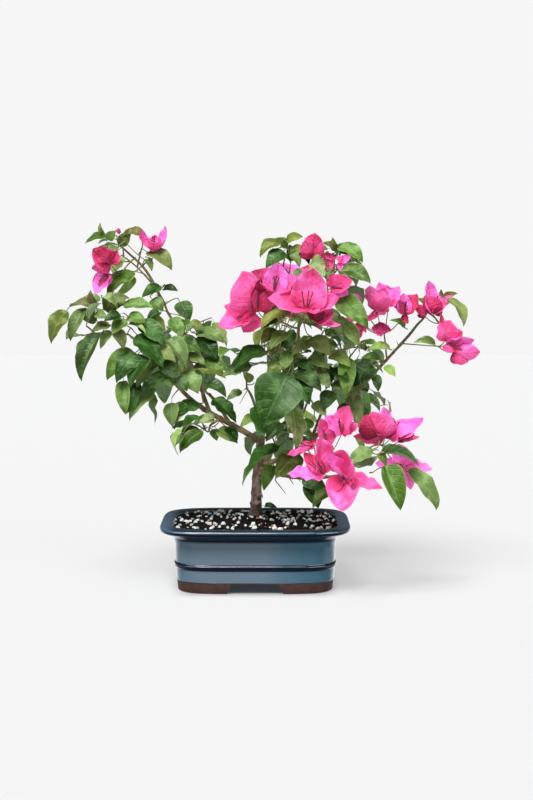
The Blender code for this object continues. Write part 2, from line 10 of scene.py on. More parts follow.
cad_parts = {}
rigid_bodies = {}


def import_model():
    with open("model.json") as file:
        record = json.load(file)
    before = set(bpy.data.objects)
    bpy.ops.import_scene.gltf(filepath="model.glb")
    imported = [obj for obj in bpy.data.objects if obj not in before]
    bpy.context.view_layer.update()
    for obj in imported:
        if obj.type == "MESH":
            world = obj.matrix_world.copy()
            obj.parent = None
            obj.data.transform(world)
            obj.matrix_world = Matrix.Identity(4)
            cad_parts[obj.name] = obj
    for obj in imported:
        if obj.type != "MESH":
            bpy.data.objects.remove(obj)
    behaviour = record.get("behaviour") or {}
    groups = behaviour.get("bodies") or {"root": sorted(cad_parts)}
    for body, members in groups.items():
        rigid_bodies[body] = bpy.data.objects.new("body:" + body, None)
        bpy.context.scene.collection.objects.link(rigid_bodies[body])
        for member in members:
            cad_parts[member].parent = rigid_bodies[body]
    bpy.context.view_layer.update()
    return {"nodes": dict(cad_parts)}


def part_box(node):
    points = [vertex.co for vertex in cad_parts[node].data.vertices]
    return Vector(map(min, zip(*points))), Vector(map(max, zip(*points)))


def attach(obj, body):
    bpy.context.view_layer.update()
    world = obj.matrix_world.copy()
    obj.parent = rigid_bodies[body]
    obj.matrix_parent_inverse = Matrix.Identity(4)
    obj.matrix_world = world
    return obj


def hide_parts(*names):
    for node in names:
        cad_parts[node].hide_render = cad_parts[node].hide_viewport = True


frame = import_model()
potLow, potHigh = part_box("pot")
seat = Vector(((potLow.x + potHigh.x) / 2, (potLow.y + potHigh.y) / 2, 0))  # the pot's middle

mm = 0.001
up = Vector((0, 0, 1))
golden = math.radians(137.508)
leafNodes = sorted(name for name in frame["nodes"] if name.endswith("_leaves"))
blossomNodes = sorted(name for name in frame["nodes"] if name.endswith("_blossom"))

# The photograph's camera: its place in metres from the pot's middle, the degrees that it looks down.
cameraAt = (0.0118, -1.6, 0.340)
cameraTilt = 5.18
cameraLens = 68.47


# Node helpers
class Signal:
    # A socket that can be added, multiplied and so on, which adds Math nodes.
    def __init__(self, graph, socket):
        self.graph = graph
        self.socket = socket

    def __add__(self, other):
        return self.graph.maths("ADD", self, other)

    def __sub__(self, other):
        return self.graph.maths("SUBTRACT", self, other)

    def __rsub__(self, other):
        return self.graph.maths("SUBTRACT", other, self)

    def __mul__(self, other):
        return self.graph.maths("MULTIPLY", self, other)

    def __abs__(self):
        return self.graph.maths("ABSOLUTE", self)

    __radd__ = __add__

    def fract(self):
        return self.graph.maths("FRACT", self)

    def other(self, name):
        return Signal(self.graph, self.socket.node.outputs[name])


class Graph:
    # Builds a shader or geometry tree.
    def __init__(self, tree):
        self.tree = tree

    def add(self, kind, settings=None, sockets=None, output=0):
        node = self.tree.nodes.new(kind)
        for key, value in (settings or {}).items():
            setattr(node, key, value)
        for key, value in (sockets or {}).items():
            self.plug(node.inputs[key], value)
        return Signal(self, node.outputs[output]) if node.outputs else node

    def plug(self, socket, value):
        if isinstance(value, Signal):
            self.tree.links.new(value.socket, socket)
        elif socket.type == "RGBA":
            socket.default_value = (*value, 1)
        else:
            socket.default_value = value

    def maths(self, operation, *values):
        return self.add("ShaderNodeMath", {"operation": operation}, dict(enumerate(values)))

    def vectors(self, operation, *values):
        return self.add("ShaderNodeVectorMath", {"operation": operation}, dict(enumerate(values)))

    def axes(self, where):
        split = self.add("ShaderNodeSeparateXYZ", None, {0: where})
        return split, split.other("Y"), split.other("Z")

    def step(self, value, start, end):  # 0 before start, 1 after end, smooth between
        settings = {"interpolation_type": "SMOOTHSTEP"}
        return self.add("ShaderNodeMapRange", settings, {0: value, 1: start, 2: end})

    def band(self, value, low, high, soft):  # 1 between low and high
        return self.step(value, low - soft, low + soft) * (1 - self.step(value, high - soft, high + soft))

    def mix(self, amount, first, second):
        return self.add("ShaderNodeMix", {"data_type": "RGBA"}, {0: amount, 6: first, 7: second}, 2)

    def cloud(self, size, detail=3, rough=0.55, where=None):  # noise with features about that size
        sockets = {"Vector": where or self.spot, "Scale": 1 / size, "Detail": detail, "Roughness": rough}
        return self.add("ShaderNodeTexNoise", None, sockets)

    def bump(self, height, depth, under=None):
        sockets = {"Height": height, "Distance": depth, "Strength": 1}
        if under:
            sockets["Normal"] = under
        return self.add("ShaderNodeBump", None, sockets)

    def named(self, kind, name):  # what a point or face carries
        return self.add("GeometryNodeInputNamedAttribute", {"data_type": kind}, {"Name": name})

    def setForms(self, points, shelf, pick, turn, size):
        # Puts one of the shelf's shapes on each point.
        forms = self.add("GeometryNodeCollectionInfo", None,
                         {"Separate Children": True, "Reset Children": True})
        forms.socket.node.inputs["Collection"].default_value = shelf
        return self.add("GeometryNodeInstanceOnPoints", None,
                        {"Points": points, "Instance": forms, "Pick Instance": True,
                         "Instance Index": pick, "Rotation": turn, "Scale": size})


class Paint(Graph):
    # One Principled material. Constants go straight on the shader's own sockets.
    def __init__(self, name, constants):
        self.material = bpy.data.materials.new(name)
        self.material.use_nodes = True
        super().__init__(self.material.node_tree)
        self.shader = self.tree.nodes["Principled BSDF"]
        self.spot = self.add("ShaderNodeTexCoord").other("Object")  # metres in the plant's own frame
        for key, value in constants.items():
            self.wear(key, value)

    def wear(self, key, value):
        self.plug(self.shader.inputs[key], value)

    def tone(self):  # the value that each leaf or bract carries
        return self.add("ShaderNodeAttribute", {"attribute_name": "tone"}).other("Fac")

    def finish(self, shade, coats, rough, relief, depth, under=None):
        # Lays the coats, each as how much and its colour, then plugs in all that varies.
        for amount, colour in coats:
            shade = self.mix(amount, shade, colour)
        self.wear("Base Color", shade)
        self.wear("Roughness", rough)
        self.wear("Normal", self.bump(relief, depth, under))
        return self.material


# Mesh helpers
def meshOf(name, corners, faces, edges=()):
    mesh = bpy.data.meshes.new(name)
    mesh.from_pydata([tuple(corner) for corner in corners], edges, faces)
    return mesh


def writeValues(mesh, name, kind, domain, values):
    field = "vector" if kind == "FLOAT_VECTOR" else "value"
    mesh.attributes.new(name, kind, domain).data.foreach_set(field, values)


def hold(name, data):
    holder = bpy.data.objects.new(name, data)
    bpy.context.scene.collection.objects.link(holder)
    return holder


def modified(mesh, kind, settings, inputs=None):
    # The plain result of one modifier on a mesh.
    holder = hold("work", mesh)
    modifier = holder.modifiers.new("work", kind)
    for key, value in settings.items():
        setattr(modifier, key, value)
    for key, value in (inputs or {}).items():
        modifier[key] = value
    bpy.context.view_layer.update()
    depsgraph = bpy.context.evaluated_depsgraph_get()
    result = bpy.data.meshes.new_from_object(holder.evaluated_get(depsgraph), depsgraph=depsgraph)
    bpy.data.objects.remove(holder)
    return result


def addPiece(name, mesh, nodes=(), materials=()):
    # Puts a finished mesh, made round the pot's middle, in its place in the model.
    mesh.name = name
    mesh.transform(Matrix.Translation(seat))
    for material in materials:
        mesh.materials.append(material)
    for spare in ("turn", "size", "form"):
        if spare in mesh.attributes:
            mesh.attributes.remove(mesh.attributes[spare])
    piece = hold(name, mesh)
    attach(piece, "root")
    if nodes:
        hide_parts(*nodes)
    mesh.calc_loop_triangles()
    print(f"{name}: {len(mesh.loop_triangles)} triangles")


def newTree(name, inputs):
    # A geometry tree with its geometry sockets and named number inputs.
    tree = bpy.data.node_groups.new(name, "GeometryNodeTree")
    for way in ("INPUT", "OUTPUT"):
        tree.interface.new_socket(name="Geometry", in_out=way, socket_type="NodeSocketGeometry")
    for label, value in inputs.items():
        kind = "NodeSocketInt" if isinstance(value, int) else "NodeSocketFloat"
        socket = tree.interface.new_socket(name=label, in_out="INPUT", socket_type=kind)
        socket.default_value = value
    graph = Graph(tree)
    return graph, graph.add("NodeGroupInput")


def finishTree(graph, geometry, coats):
    # Realizes what is instanced and gives it its material, or one for each face mark.
    geometry = graph.add("GeometryNodeRealizeInstances", None, {0: geometry})
    for material, side in coats:
        sockets = {"Geometry": geometry}
        if side:
            sockets["Selection"] = graph.named("BOOLEAN", side)
        geometry = graph.add("GeometryNodeSetMaterial", None, sockets)
        geometry.socket.node.inputs["Material"].default_value = material
    graph.add("NodeGroupOutput", None, {0: geometry})
    return graph.tree


def grow(mesh, tree, sizes):
    # What a tree makes of a mesh, with the tree's own inputs set by name.
    inputs = {item.identifier: sizes[item.name] for item in tree.interface.items_tree
              if item.in_out == "INPUT" and item.name in sizes}
    return modified(mesh, "NODES", {"node_group": tree}, inputs)


def formShelf(name, meshes):
    # A collection of shapes that instances are picked from, in order.
    shelf = bpy.data.collections.new(name)
    for order, mesh in enumerate(meshes):
        shelf.objects.link(bpy.data.objects.new(f"{name}{order:02d}", mesh))
    return shelf


def clearShelf(shelf):
    for member in list(shelf.objects):
        bpy.data.objects.remove(member)
    bpy.data.collections.remove(shelf)


def pointCloud(spots):
    # One point for each spot, with its turn, size, form and tone.
    mesh = meshOf("spots", [spot["place"] for spot in spots], [])
    for key in ("turn", "size"):
        writeValues(mesh, key, "FLOAT_VECTOR", "POINT", [value for spot in spots for value in spot[key]])
    for key, kind in (("form", "INT"), ("tone", "FLOAT")):
        writeValues(mesh, key, kind, "POINT", [spot[key] for spot in spots])
    return mesh


def instanceTree(name, shelf, coats):
    # Sets a form from the shelf on each point by the point's own turn and size.
    graph, source = newTree(name, {"Scale": 1.0})
    turn = graph.add("FunctionNodeEulerToRotation", None, {0: graph.named("FLOAT_VECTOR", "turn")})
    size = graph.vectors("SCALE", graph.named("FLOAT_VECTOR", "size"))
    graph.plug(size.socket.node.inputs["Scale"], source.other("Scale"))
    placed = graph.setForms(source, shelf, graph.named("INT", "form"), turn, size)
    return finishTree(graph, placed, coats)


def strandTree(name, material):
    # Sweeps a round section along every line of a mesh, by its radius attribute.
    graph, source = newTree(name, {"Sides": 6, "Thickness": 1.0})
    line = graph.add("GeometryNodeMeshToCurve", None, {0: source})
    ring = graph.add("GeometryNodeCurvePrimitiveCircle", None,
                     {"Resolution": source.other("Sides"), "Radius": 1.0})
    swept = graph.add("GeometryNodeCurveToMesh", None,
                      {"Curve": line, "Profile Curve": ring, "Fill Caps": True,
                       "Scale": graph.named("FLOAT", "radius") * source.other("Thickness")})
    smooth = graph.add("GeometryNodeSetShadeSmooth", None, {0: swept})
    return finishTree(graph, smooth, [(material, None)])


def lines(strands):
    # Separate lines of (path, radii) as one mesh of edges.
    corners, edges, girths = [], [], []
    for path, radii in strands:
        first = len(corners)
        corners += path
        girths += radii
        edges += [(first + step, first + step + 1) for step in range(len(path) - 1)]
    mesh = meshOf("lines", corners, [], edges)
    writeValues(mesh, "radius", "FLOAT", "POINT", girths)
    return mesh


def shell(name, rows, ups, thickness, marks):
    # A thin closed blade: rows of places, pinched to one at both ends, with its rim shared.
    corners, upper, lower, spots = [], [], [], []
    for places, rise, along in zip(rows, ups, marks):
        top = []
        for column, place in enumerate(places):
            across = column / max(1, len(places) - 1)
            top.append(len(corners))
            corners.append(place)
            spots.append((across if len(places) > 1 else 0.5, along))
        bottom = list(top)
        for column in range(1, len(places) - 1):
            bottom[column] = len(corners)
            corners.append(places[column] - rise * thickness)
            spots.append(spots[top[column]])
        upper.append(top)
        lower.append(bottom)

    def skin(levels, flip):
        made = []
        for near, far in zip(levels, levels[1:]):
            for column in range(max(len(near), len(far)) - 1):
                ring = [level[min(reach, len(level) - 1)] for level, reach in
                        ((near, column), (far, column), (far, column + 1), (near, column + 1))]
                halves = ((0, 1, 2), (0, 2, 3)) if column < len(near) // 2 else ((0, 1, 3), (1, 2, 3))
                for half in halves:  # both sides are split along the same diagonal
                    face = [ring[corner] for corner in half]
                    if len(set(face)) == 3:
                        made.append(face[::-1] if flip else face)
        return made

    above = skin(upper, False)
    below = skin(lower, True)
    mesh = meshOf(name, corners, above + below)
    count = len(above)
    writeValues(mesh, "under", "BOOLEAN", "FACE", [order >= count for order in range(len(mesh.polygons))])
    chart = mesh.uv_layers.new(name="UVMap")
    chart.data.foreach_set("uv", [value for loop in mesh.loops for value in spots[loop.vertex_index]])
    mesh.shade_smooth()
    edgeFaces = {}
    for face in mesh.polygons:
        for key in face.edge_keys:
            edgeFaces.setdefault(key, set()).add(face.index >= count)
    seams = [len(edgeFaces[edge.key]) == 2 for edge in mesh.edges]
    writeValues(mesh, "sharp_edge", "BOOLEAN", "EDGE", seams)
    return mesh


def joined(name, meshes):
    # Several meshes as one, with their attributes.
    parts = [hold(name, mesh) for mesh in meshes]
    with bpy.context.temp_override(active_object=parts[0], selected_editable_objects=parts):
        bpy.ops.object.join()
    mesh = parts[0].data
    bpy.data.objects.remove(parts[0])
    return mesh


# The plant's rule, the same as in the model's source, then carried on to finer twigs.
trunkKnots = ((0, 12, 70.3, 9.2), (0, 12, 72.3, 7.6), (0.5, 11.5, 79, 6.1), (1, 11, 93, 5.5),
              (2, 9, 115, 5.2), (5, 6, 144, 4.7), (6, 5, 156, 4.4))

# Each limb: parent, how far along it, a point it bends through, its tip, radius at root and tip.
limbTable = {
    "left_bough": ("trunk", 0.93, (-26, -5, 170), (-54, -9, 186), 3.4, 2.6),
    "left_arm": ("left_bough", 1.0, (-80, -26, 211), (-104, -36, 242), 2.4, 1.8),
    "left_arm_end": ("left_arm", 1.0, (-116, -41, 255), (-127, -44, 264), 1.6, 1.3),
    "left_riser": ("left_bough", 0.9, (-65, 10, 225), (-83, 20, 266), 2.1, 1.6),
    "left_riser_end": ("left_riser", 1.0, (-93, 24, 287), (-106, 28, 311), 1.5, 1.1),
    "left_spur": ("left_bough", 0.72, (-44, -14, 172), (-48, -19, 167), 1.3, 1.0),
    "centre_bough": ("trunk", 1.0, (12, 10, 188), (36, 10, 222), 3.4, 2.4),
    "centre_riser": ("centre_bough", 1.0, (42, 7, 248), (46, 5, 276), 2.2, 1.6),
    "top_left_twig": ("centre_riser", 1.0, (47, 4, 296), (43, 2, 316), 1.4, 1.1),
    "top_right_twig": ("centre_riser", 0.93, (58, 9, 290), (73, 9, 308), 1.3, 1.0),
    "centre_left": ("trunk", 0.97, (0, -9, 188), (-7, -15, 206), 1.9, 1.2),
    "front_bough": ("centre_bough", 0.5, (15, -12, 199), (17, -27, 203), 1.7, 1.2),
    "right_bough": ("trunk", 0.62, (54, 19, 146), (104, 30, 196), 2.9, 2.1),
    "right_arm": ("right_bough", 1.0, (133, 27, 228), (163, 12, 263), 2.0, 1.3),
    "right_inner": ("right_bough", 0.36, (47, 11, 168), (59, 8, 202), 1.7, 1.1),
    "low_right": ("trunk", 0.6, (52, -29, 116), (103, -50, 125), 2.3, 1.3),
    "low_right_shoot": ("low_right", 0.92, (107, -49, 138), (116, -49, 148), 1.1, 0.9),
    "low_spur": ("low_right", 0.5, (56, -42, 120), (58, -50, 124), 1.2, 0.9),
    "low_twig": ("trunk", 0.5, (12, -6, 121), (18, -14, 125), 1.4, 1.0),
    "back_bough": ("trunk", 0.85, (14, 38, 182), (19, 56, 203), 2.5, 1.5),
    "back_left": ("left_bough", 0.55, (-46, 32, 194), (-64, 50, 206), 1.9, 1.2),
    "back_right": ("right_bough", 0.5, (73, 46, 180), (86, 60, 200), 1.8, 1.2),
    "back_low": ("trunk", 0.52, (10, 32, 126), (17, 42, 137), 1.6, 1.1),
}

# Each mass of leaves: limb, middle and half sizes of its space, twigs, longest leaf.
massTable = {
    "left_tip_leaves": ("left_arm_end", (-166, -50, 264), (58, 42, 52), 7, 52),
    "left_middle_leaves": ("left_arm", (-112, -36, 214), (58, 44, 50), 7, 54),
    "left_low_leaves": ("left_spur", (-64, -34, 172), (44, 36, 34), 4, 46),
    "left_shoulder_leaves": ("left_riser", (-66, 4, 250), (50, 44, 60), 7, 50),
    "upper_left_leaves": ("left_riser_end", (-132, 34, 336), (56, 44, 44), 6, 42),
    "centre_left_leaves": ("centre_left", (-8, -26, 232), (40, 36, 40), 5, 46),
    "centre_front_leaves": ("front_bough", (20, -56, 194), (44, 40, 46), 6, 58),
    "top_left_leaves": ("top_left_twig", (20, 6, 340), (34, 38, 40), 5, 38),
    "top_right_leaves": ("top_right_twig", (88, 16, 330), (44, 40, 40), 5, 40),
    "centre_upper_leaves": ("right_inner", (64, 0, 240), (44, 44, 48), 7, 48),
    "right_arm_leaves": ("right_bough", (112, 12, 208), (38, 44, 50), 6, 46),
    "right_tip_leaves": ("right_arm", (192, 2, 286), (38, 38, 38), 4, 44),
    "low_right_leaves": ("low_right", (142, -66, 118), (56, 44, 46), 6, 58),
    "low_centre_leaves": ("low_twig", (20, -36, 132), (38, 32, 42), 5, 46),
    "back_centre_leaves": ("back_bough", (20, 84, 236), (56, 44, 56), 7, 50),
    "back_left_leaves": ("back_left", (-86, 80, 226), (52, 42, 50), 5, 50),
    "back_right_leaves": ("back_right", (100, 86, 226), (48, 42, 52), 6, 48),
    "back_low_leaves": ("back_low", (30, 66, 148), (44, 36, 38), 4, 46),
}

# Each spray of blossom: limb, middle, and the heads that follow the rule as (x, y, z, bract length).
sprayTable = {
    "centre_blossom": ("centre_riser", (48, -30, 298), ()),
    "upper_left_blossom": ("left_riser_end", (-148, 6, 326), ()),
    "upper_tip_blossom": ("left_riser_end", (-108, 16, 348), ()),
    "centre_left_blossom": ("centre_riser", (-4, -24, 296), ()),
    "top_blossom": ("top_right_twig", (74, -8, 338), ()),
    "right_inner_blossom": ("right_arm", (134, 4, 288), ()),
    "right_tip_blossom": ("right_arm", (200, -4, 276), ()),
    "low_centre_blossom": ("low_spur", (68, -66, 138), ()),
    "low_right_blossom": ("low_right_shoot", (138, -46, 160), ()),
    "back_blossom": ("back_bough", (34, 74, 300),
                     ((20, 84, 312, 38), (50, 80, 318, 38), (36, 96, 292, 36), (62, 92, 300, 30),
                      (6, 94, 294, 32))),
}

twigRule = {
    "stemLead": 4,
    "stemReach": 0.4,
    "stemPitch": 2.5,
    "stemRadius": 1.1,
    "twigRadius": 0.95,
    "twigEndRadius": 0.65,
    "reach": (0.47, 0.605),
    "rise": 0.22,
    "lift": 3,
    "lean": 0.25,
    "roots": (0.2, 0.92),
    "margin": 1.6,  # how far a leaf keeps from the next mass's space
    "overrun": 7,  # how far it may stand out of its own
    "lowest": 84,
}

leafRule = {
    "spacing": 8.8,
    "start": 0.2,
    "stemStart": 0.45,
    "last": 0.985,
    "forward": (0.2, 0.7),
    "hang": (0.4, 1.5),
    "sway": 0.4,
    "roll": 0.5,
    "sizes": (0.85, 1.0),
    "tries": (1.0, 0.95, 0.88, 0.8, 0.7),
    "droop": 0.12,
    "fold": 0.06,
    "width": 0.62,
    "outline": ((0.36, 1.0), (0.72, 0.62)),
    "rootZone": 3,
}

headRule = {
    "depth": 0.3,
    "forward": 0.55,
    "rise": 0.15,
    "hubShare": 0.6,
    "hubDrop": 4,
}


def metres(place):
    return Vector(place) * mm


def pathLength(path):
    return sum((after - before).length for before, after in zip(path, path[1:]))


def pointAlong(path, share):
    lengths = [(after - before).length for before, after in zip(path, path[1:])]
    wanted = share * sum(lengths)
    passed = 0
    for before, after, length in zip(path, path[1:], lengths):
        if passed + length >= wanted:
            break
        passed += length
    else:
        passed -= length
    heading = (after - before).normalized()
    return before + heading * min(wanted - passed, length), heading


def bend(start, middle, end, steps):
    path = []
    for step in range(steps + 1):
        t = step / steps
        path.append(start * (2 * t - 1) * (t - 1) + middle * 4 * t * (1 - t) + end * t * (2 * t - 1))
    return path


def limbPaths():
    found = {"trunk": [metres(knot[:3]) for knot in trunkKnots]}
    girths = {"trunk": [knot[3] for knot in trunkKnots]}
    for name, (parent, share, middle, tip, rootRadius, tipRadius) in limbTable.items():
        rng = random.Random(name)
        start, heading = pointAlong(found[parent], share)
        if share == 1.0:
            start = start - heading * mm
        path = bend(start, metres(middle), metres(tip), 4)
        for knot in path[1:-1]:
            knot += Vector([rng.uniform(-0.7 * mm, 0.7 * mm) for _ in range(3)])
        found[name] = path
        girths[name] = [rootRadius + (tipRadius - rootRadius) * step / 4 for step in range(5)]
    return found, girths


def squareTo(path):
    # Each place of a path with two directions square to it and to each other.
    across = (path[1] - path[0]).orthogonal().normalized()
    for step, place in enumerate(path):
        heading = (path[min(step + 1, len(path) - 1)] - path[max(step - 1, 0)]).normalized()
        across = (across - heading * across.dot(heading)).normalized()
        yield place, across, heading.cross(across)


def ringsAlong(path, radii, sides):
    rings = []
    for (place, across, side), radius in zip(squareTo(path), radii):
        ring = []
        for turn in range(sides):
            angle = 2 * math.pi * turn / sides
            ring.append(place + (across * math.cos(angle) + side * math.sin(angle)) * radius * mm)
        rings.append(ring)
    return rings


def tubeParts(rings):
    # The corners and faces of a closed tube through rings of places.
    sides = len(rings[0])
    faces = []
    for level in range(len(rings) - 1):
        for turn in range(sides):
            after = (turn + 1) % sides
            near = level * sides
            far = near + sides
            faces.append((near + turn, near + after, far + after, far + turn))
    last = (len(rings) - 1) * sides
    faces.append(tuple(reversed(range(sides))))
    faces.append(tuple(range(last, last + sides)))
    return [place for ring in rings for place in ring], faces


def tubeTree(path, radii, sides):
    return BVHTree.FromPolygons(*tubeParts(ringsAlong(path, radii, sides)))


def beyond(space, place):
    middle, half = space
    offset = place - middle
    level = math.sqrt(sum((offset[axis] / half[axis]) ** 2 for axis in range(3)))
    return (level - 1) * sum(half) / 3


def inOwnSpace(name, place):
    own = beyond(spaces[name], place)
    if own > twigRule["overrun"] * mm or place.z < twigRule["lowest"] * mm:
        return False
    others = (space for other, space in spaces.items() if other != name)
    return all(own + twigRule["margin"] * mm < beyond(space, place) for space in others)


def touches(tree, trees):
    return any(other.overlap(tree) for other in trees)


def lyingTurn(chord, rise):
    # Turns x along a chord and z towards its rise.
    xAxis = chord.normalized()
    zAxis = (rise - xAxis * rise.dot(xAxis)).normalized()
    return Matrix((xAxis, zAxis.cross(xAxis), zAxis)).transposed()


def randomSide(heading, rng):
    return Matrix.Rotation(rng.uniform(0, 2 * math.pi), 3, heading) @ heading.orthogonal().normalized()


def coarseLeaf(place, heading, upward, length):
    # The few faces that decide whether a leaf has room, their places, and how the leaf lies.
    turn = lyingTurn(heading, upward)
    xAxis, _, zAxis = turn.transposed()

    def local(share, half, lift):
        sag = leafRule["droop"] * share * share * length
        return place + turn @ Vector((share * length, half * leafRule["width"] * length / 2, lift - sag))

    fold = leafRule["fold"] * length
    rim = [local(0, 0, 0)]
    rim += [local(share, -half, half * fold) for share, half in leafRule["outline"]]
    rim.append(local(1, 0, 0))
    rim += [local(share, half, half * fold) for share, half in reversed(leafRule["outline"])]
    corners = rim + [local(0.42, 0, 0), local(0.24, 0, -0.9 * mm)]
    faces = []
    for step in range(len(rim)):
        after = (step + 1) % len(rim)
        faces += [(step, after, len(rim)), (after, step, len(rim) + 1)]
    tree = BVHTree.FromPolygons(corners, faces)
    return tree, corners[:-1], xAxis - zAxis * leafRule["droop"], zAxis


def stemStart(limb, middle):
    path = paths[limb]
    taken = stemsOn[limb]
    stemsOn[limb] += 1
    tip, heading = pointAlong(path, 1.0)
    if not taken:
        return tip + heading * 0.3 * mm, heading
    root, heading = pointAlong(path, 1 - twigRule["stemPitch"] * mm * taken / pathLength(path))
    side = middle - root
    side = (side - heading * side.dot(heading)).normalized()
    return root + side * (radii[limb][-2] + 0.3) * mm, side


def spread(count, phase):
    for step in range(count):
        height = 1 - (2 * step + 1) / count
        ring = math.sqrt(1 - height * height)
        turn = phase + step * golden
        yield Vector((ring * math.cos(turn), ring * math.sin(turn), height))


def twigPaths(name, limb, middle, half, count, rng):
    start, heading = stemStart(limb, middle)
    first = start + heading * twigRule["stemLead"] * mm
    far = middle + (middle - start).normalized() * min(half) * twigRule["stemReach"]
    lift = up * twigRule["lift"] * mm
    stem = [start] + bend(first, first.lerp(far, 0.5) + lift, far, 3)
    twigs = [stem]
    for direction in spread(count, rng.uniform(0, 2 * math.pi)):
        direction = direction * rng.uniform(*twigRule["reach"]) + up * twigRule["rise"]
        end = middle + Vector([direction[axis] * half[axis] for axis in range(3)])
        ahead = (end - start).dot(far - start) / (far - start).length_squared
        low, high = twigRule["roots"]
        root, _ = pointAlong(stem, min(high, max(low, ahead - twigRule["lean"])))
        twig = bend(root, root.lerp(end, 0.5) + lift, end, 2)
        if all(inOwnSpace(name, place) for place in twig[1:]):
            twigs.append(twig)
    return twigs


def leafPlaces(twig, rng, isStem):
    start = leafRule["stemStart"] if isStem else leafRule["start"]
    count = max(2, round(pathLength(twig) * (1 - start) / (leafRule["spacing"] * mm)))
    phase = rng.uniform(0, 2 * math.pi)
    for step in range(count):
        share = start + (1 - start) * (step + 0.9) / count
        place, heading = pointAlong(twig, min(share, leafRule["last"]))
        across = heading.cross(up).normalized()
        side = Matrix.Rotation(phase + step * golden, 3, heading) @ across
        choices = []
        for shrink in leafRule["tries"]:
            outward = side + heading * rng.uniform(*leafRule["forward"])
            outward -= up * rng.uniform(*leafRule["hang"])
            outward += across * rng.uniform(-leafRule["sway"], leafRule["sway"])
            upward = up + outward.cross(up) * rng.uniform(-leafRule["roll"], leafRule["roll"])
            choices.append((outward.normalized(), upward, shrink * rng.uniform(*leafRule["sizes"])))
        yield place, share, choices


def setLeaf(name, place, outward, upward, length, blades):
    # Takes the leaf if it has room, and returns how it lies.
    tree, corners, chord, zAxis = coarseLeaf(place, outward, upward, length)
    if touches(tree, blades) or touches(tree, obstacles):
        return None
    zone = leafRule["rootZone"] * mm
    if not all(inOwnSpace(name, corner) for corner in corners[1:] if (corner - place).length > zone):
        return None
    if wouldHide([place + chord * length * share for share in (0.35, 0.65, 1.0)]):
        return None
    blades.append(tree)
    return {"place": place, "chord": chord * length, "up": zAxis}


paths, radii = limbPaths()
spaces = {name: (metres(middle), metres(half)) for name, (_, middle, half, _, _) in massTable.items()}
stemsOn = dict.fromkeys(paths, 0)
for parent, share, *_ in limbTable.values():
    stemsOn[parent] += share == 1.0
obstacles = []
for name, path in paths.items():
    sides = 12 if name == "trunk" else 8
    obstacles.append(tubeTree(path, [radius + 1 for radius in radii[name]], sides))
print("limbs laid out")


# The sky seen through and under the crown from the front, as (x from, x to, z from, z to)
# on the plane of the pot's middle: only the leaves that stand out hang there.
skyOpenings = (
    (-76, -8, 83, 150), (-207, -8, 83, 135), (8, 54, 85, 105), (-18, -2, 182, 208), (-35, 5, 251, 269),
    (-81, -27, 300, 382), (-73, -41, 281, 305), (-26, 1, 340, 382), (137, 152, 253, 281),
    (150, 237, 190, 244), (131, 153, 190, 216), (-219, -185, 174, 252), (-217, -148, 131, 210),
    (-145, -93, 83, 167), (-204, -172, 311, 353), (-83, -32, 317, 347), (-130, -119, 302, 329),
    (95, 156, 67, 99), (192, 239, 67, 190), (154, 237, 186, 244), (126, 194, 319, 382),
    (193, 257, 311, 382), (221, 258, 184, 311), (-225, -179, 340, 389), (-236, -220, 174, 311),
    (-89, -5, 342, 399), (86, 193, 375, 399), (95, 102, 178, 195), (-138, -81, 315, 367),
    (160, 194, 246, 288), (194, 228, 253, 302), (-179, -138, 367, 389), (3, 47, 371, 399),
    (47, 89, 373, 399), (123, 154, 317, 378), (-20, 3, 334, 390), (-20, 4, 325, 340), (5, 35, 365, 404),
    (115, 147, 334, 363), (156, 186, 65, 103),
)


def seenAt(place):
    # Where a place shows on the plane of the pot's middle, from the front.
    x, y, z = cameraAt
    depth = -y / (place.y - y)
    return Vector((x + (place.x - x) * depth, z + (place.z - z) * depth))


sightRule = {
    "halfWidth": 0.36,  # of a leaf's length and width, that nothing may cover
    "before": 12,  # how far behind its front a leaf still counts as before it
    "cover": 0.8,  # 1 is all of its ellipse
    "leafWidth": 0.6,  # of its length, in a row that says 1
}
shown = []  # what the tables put in sight from the front


def addShown(base, tip, width):
    start, end = seenAt(base), seenAt(tip)
    reach = (tip - base).length * width * sightRule["halfWidth"]
    shown.append((start.lerp(end, 0.5), (end - start) / 2, reach, min(base.y, tip.y)))


def wouldHide(places):
    # Whether a leaf there would hang in the open sky or hide what the tables put in sight.
    for place in places:
        spot = seenAt(place)
        x, z = spot / mm
        if any(west < x < east and low < z < high for west, east, low, high in skyOpenings):
            return True
        for middle, half, reach, depth in shown:
            offset = spot - middle
            nearer = place.y < depth + sightRule["before"] * mm
            if nearer and offset.length_squared < half.length_squared:
                ahead = offset.dot(half) / half.length_squared
                aside = (offset - half * ahead).length / reach
                if ahead * ahead + aside * aside < sightRule["cover"]:
                    return True
    return False


# Which way the inner side of a bract looks, seen from the front of the plant.
facings = {
    "front": (0, -1, 0.25),
    "frontLeft": (-0.6, -0.8, 0.2),
    "frontRight": (0.6, -0.8, 0.2),
    "frontUp": (0, -0.6, 0.8),
    "frontDown": (0, -0.8, -0.6),
    "upLeft": (-0.5, -0.6, 0.6),
    "back": (0, 1, 0),
    "backLeft": (-0.6, 0.8, 0),
    "backRight": (0.6, 0.8, 0),
    "right": (1, -0.3, 0.2),
}

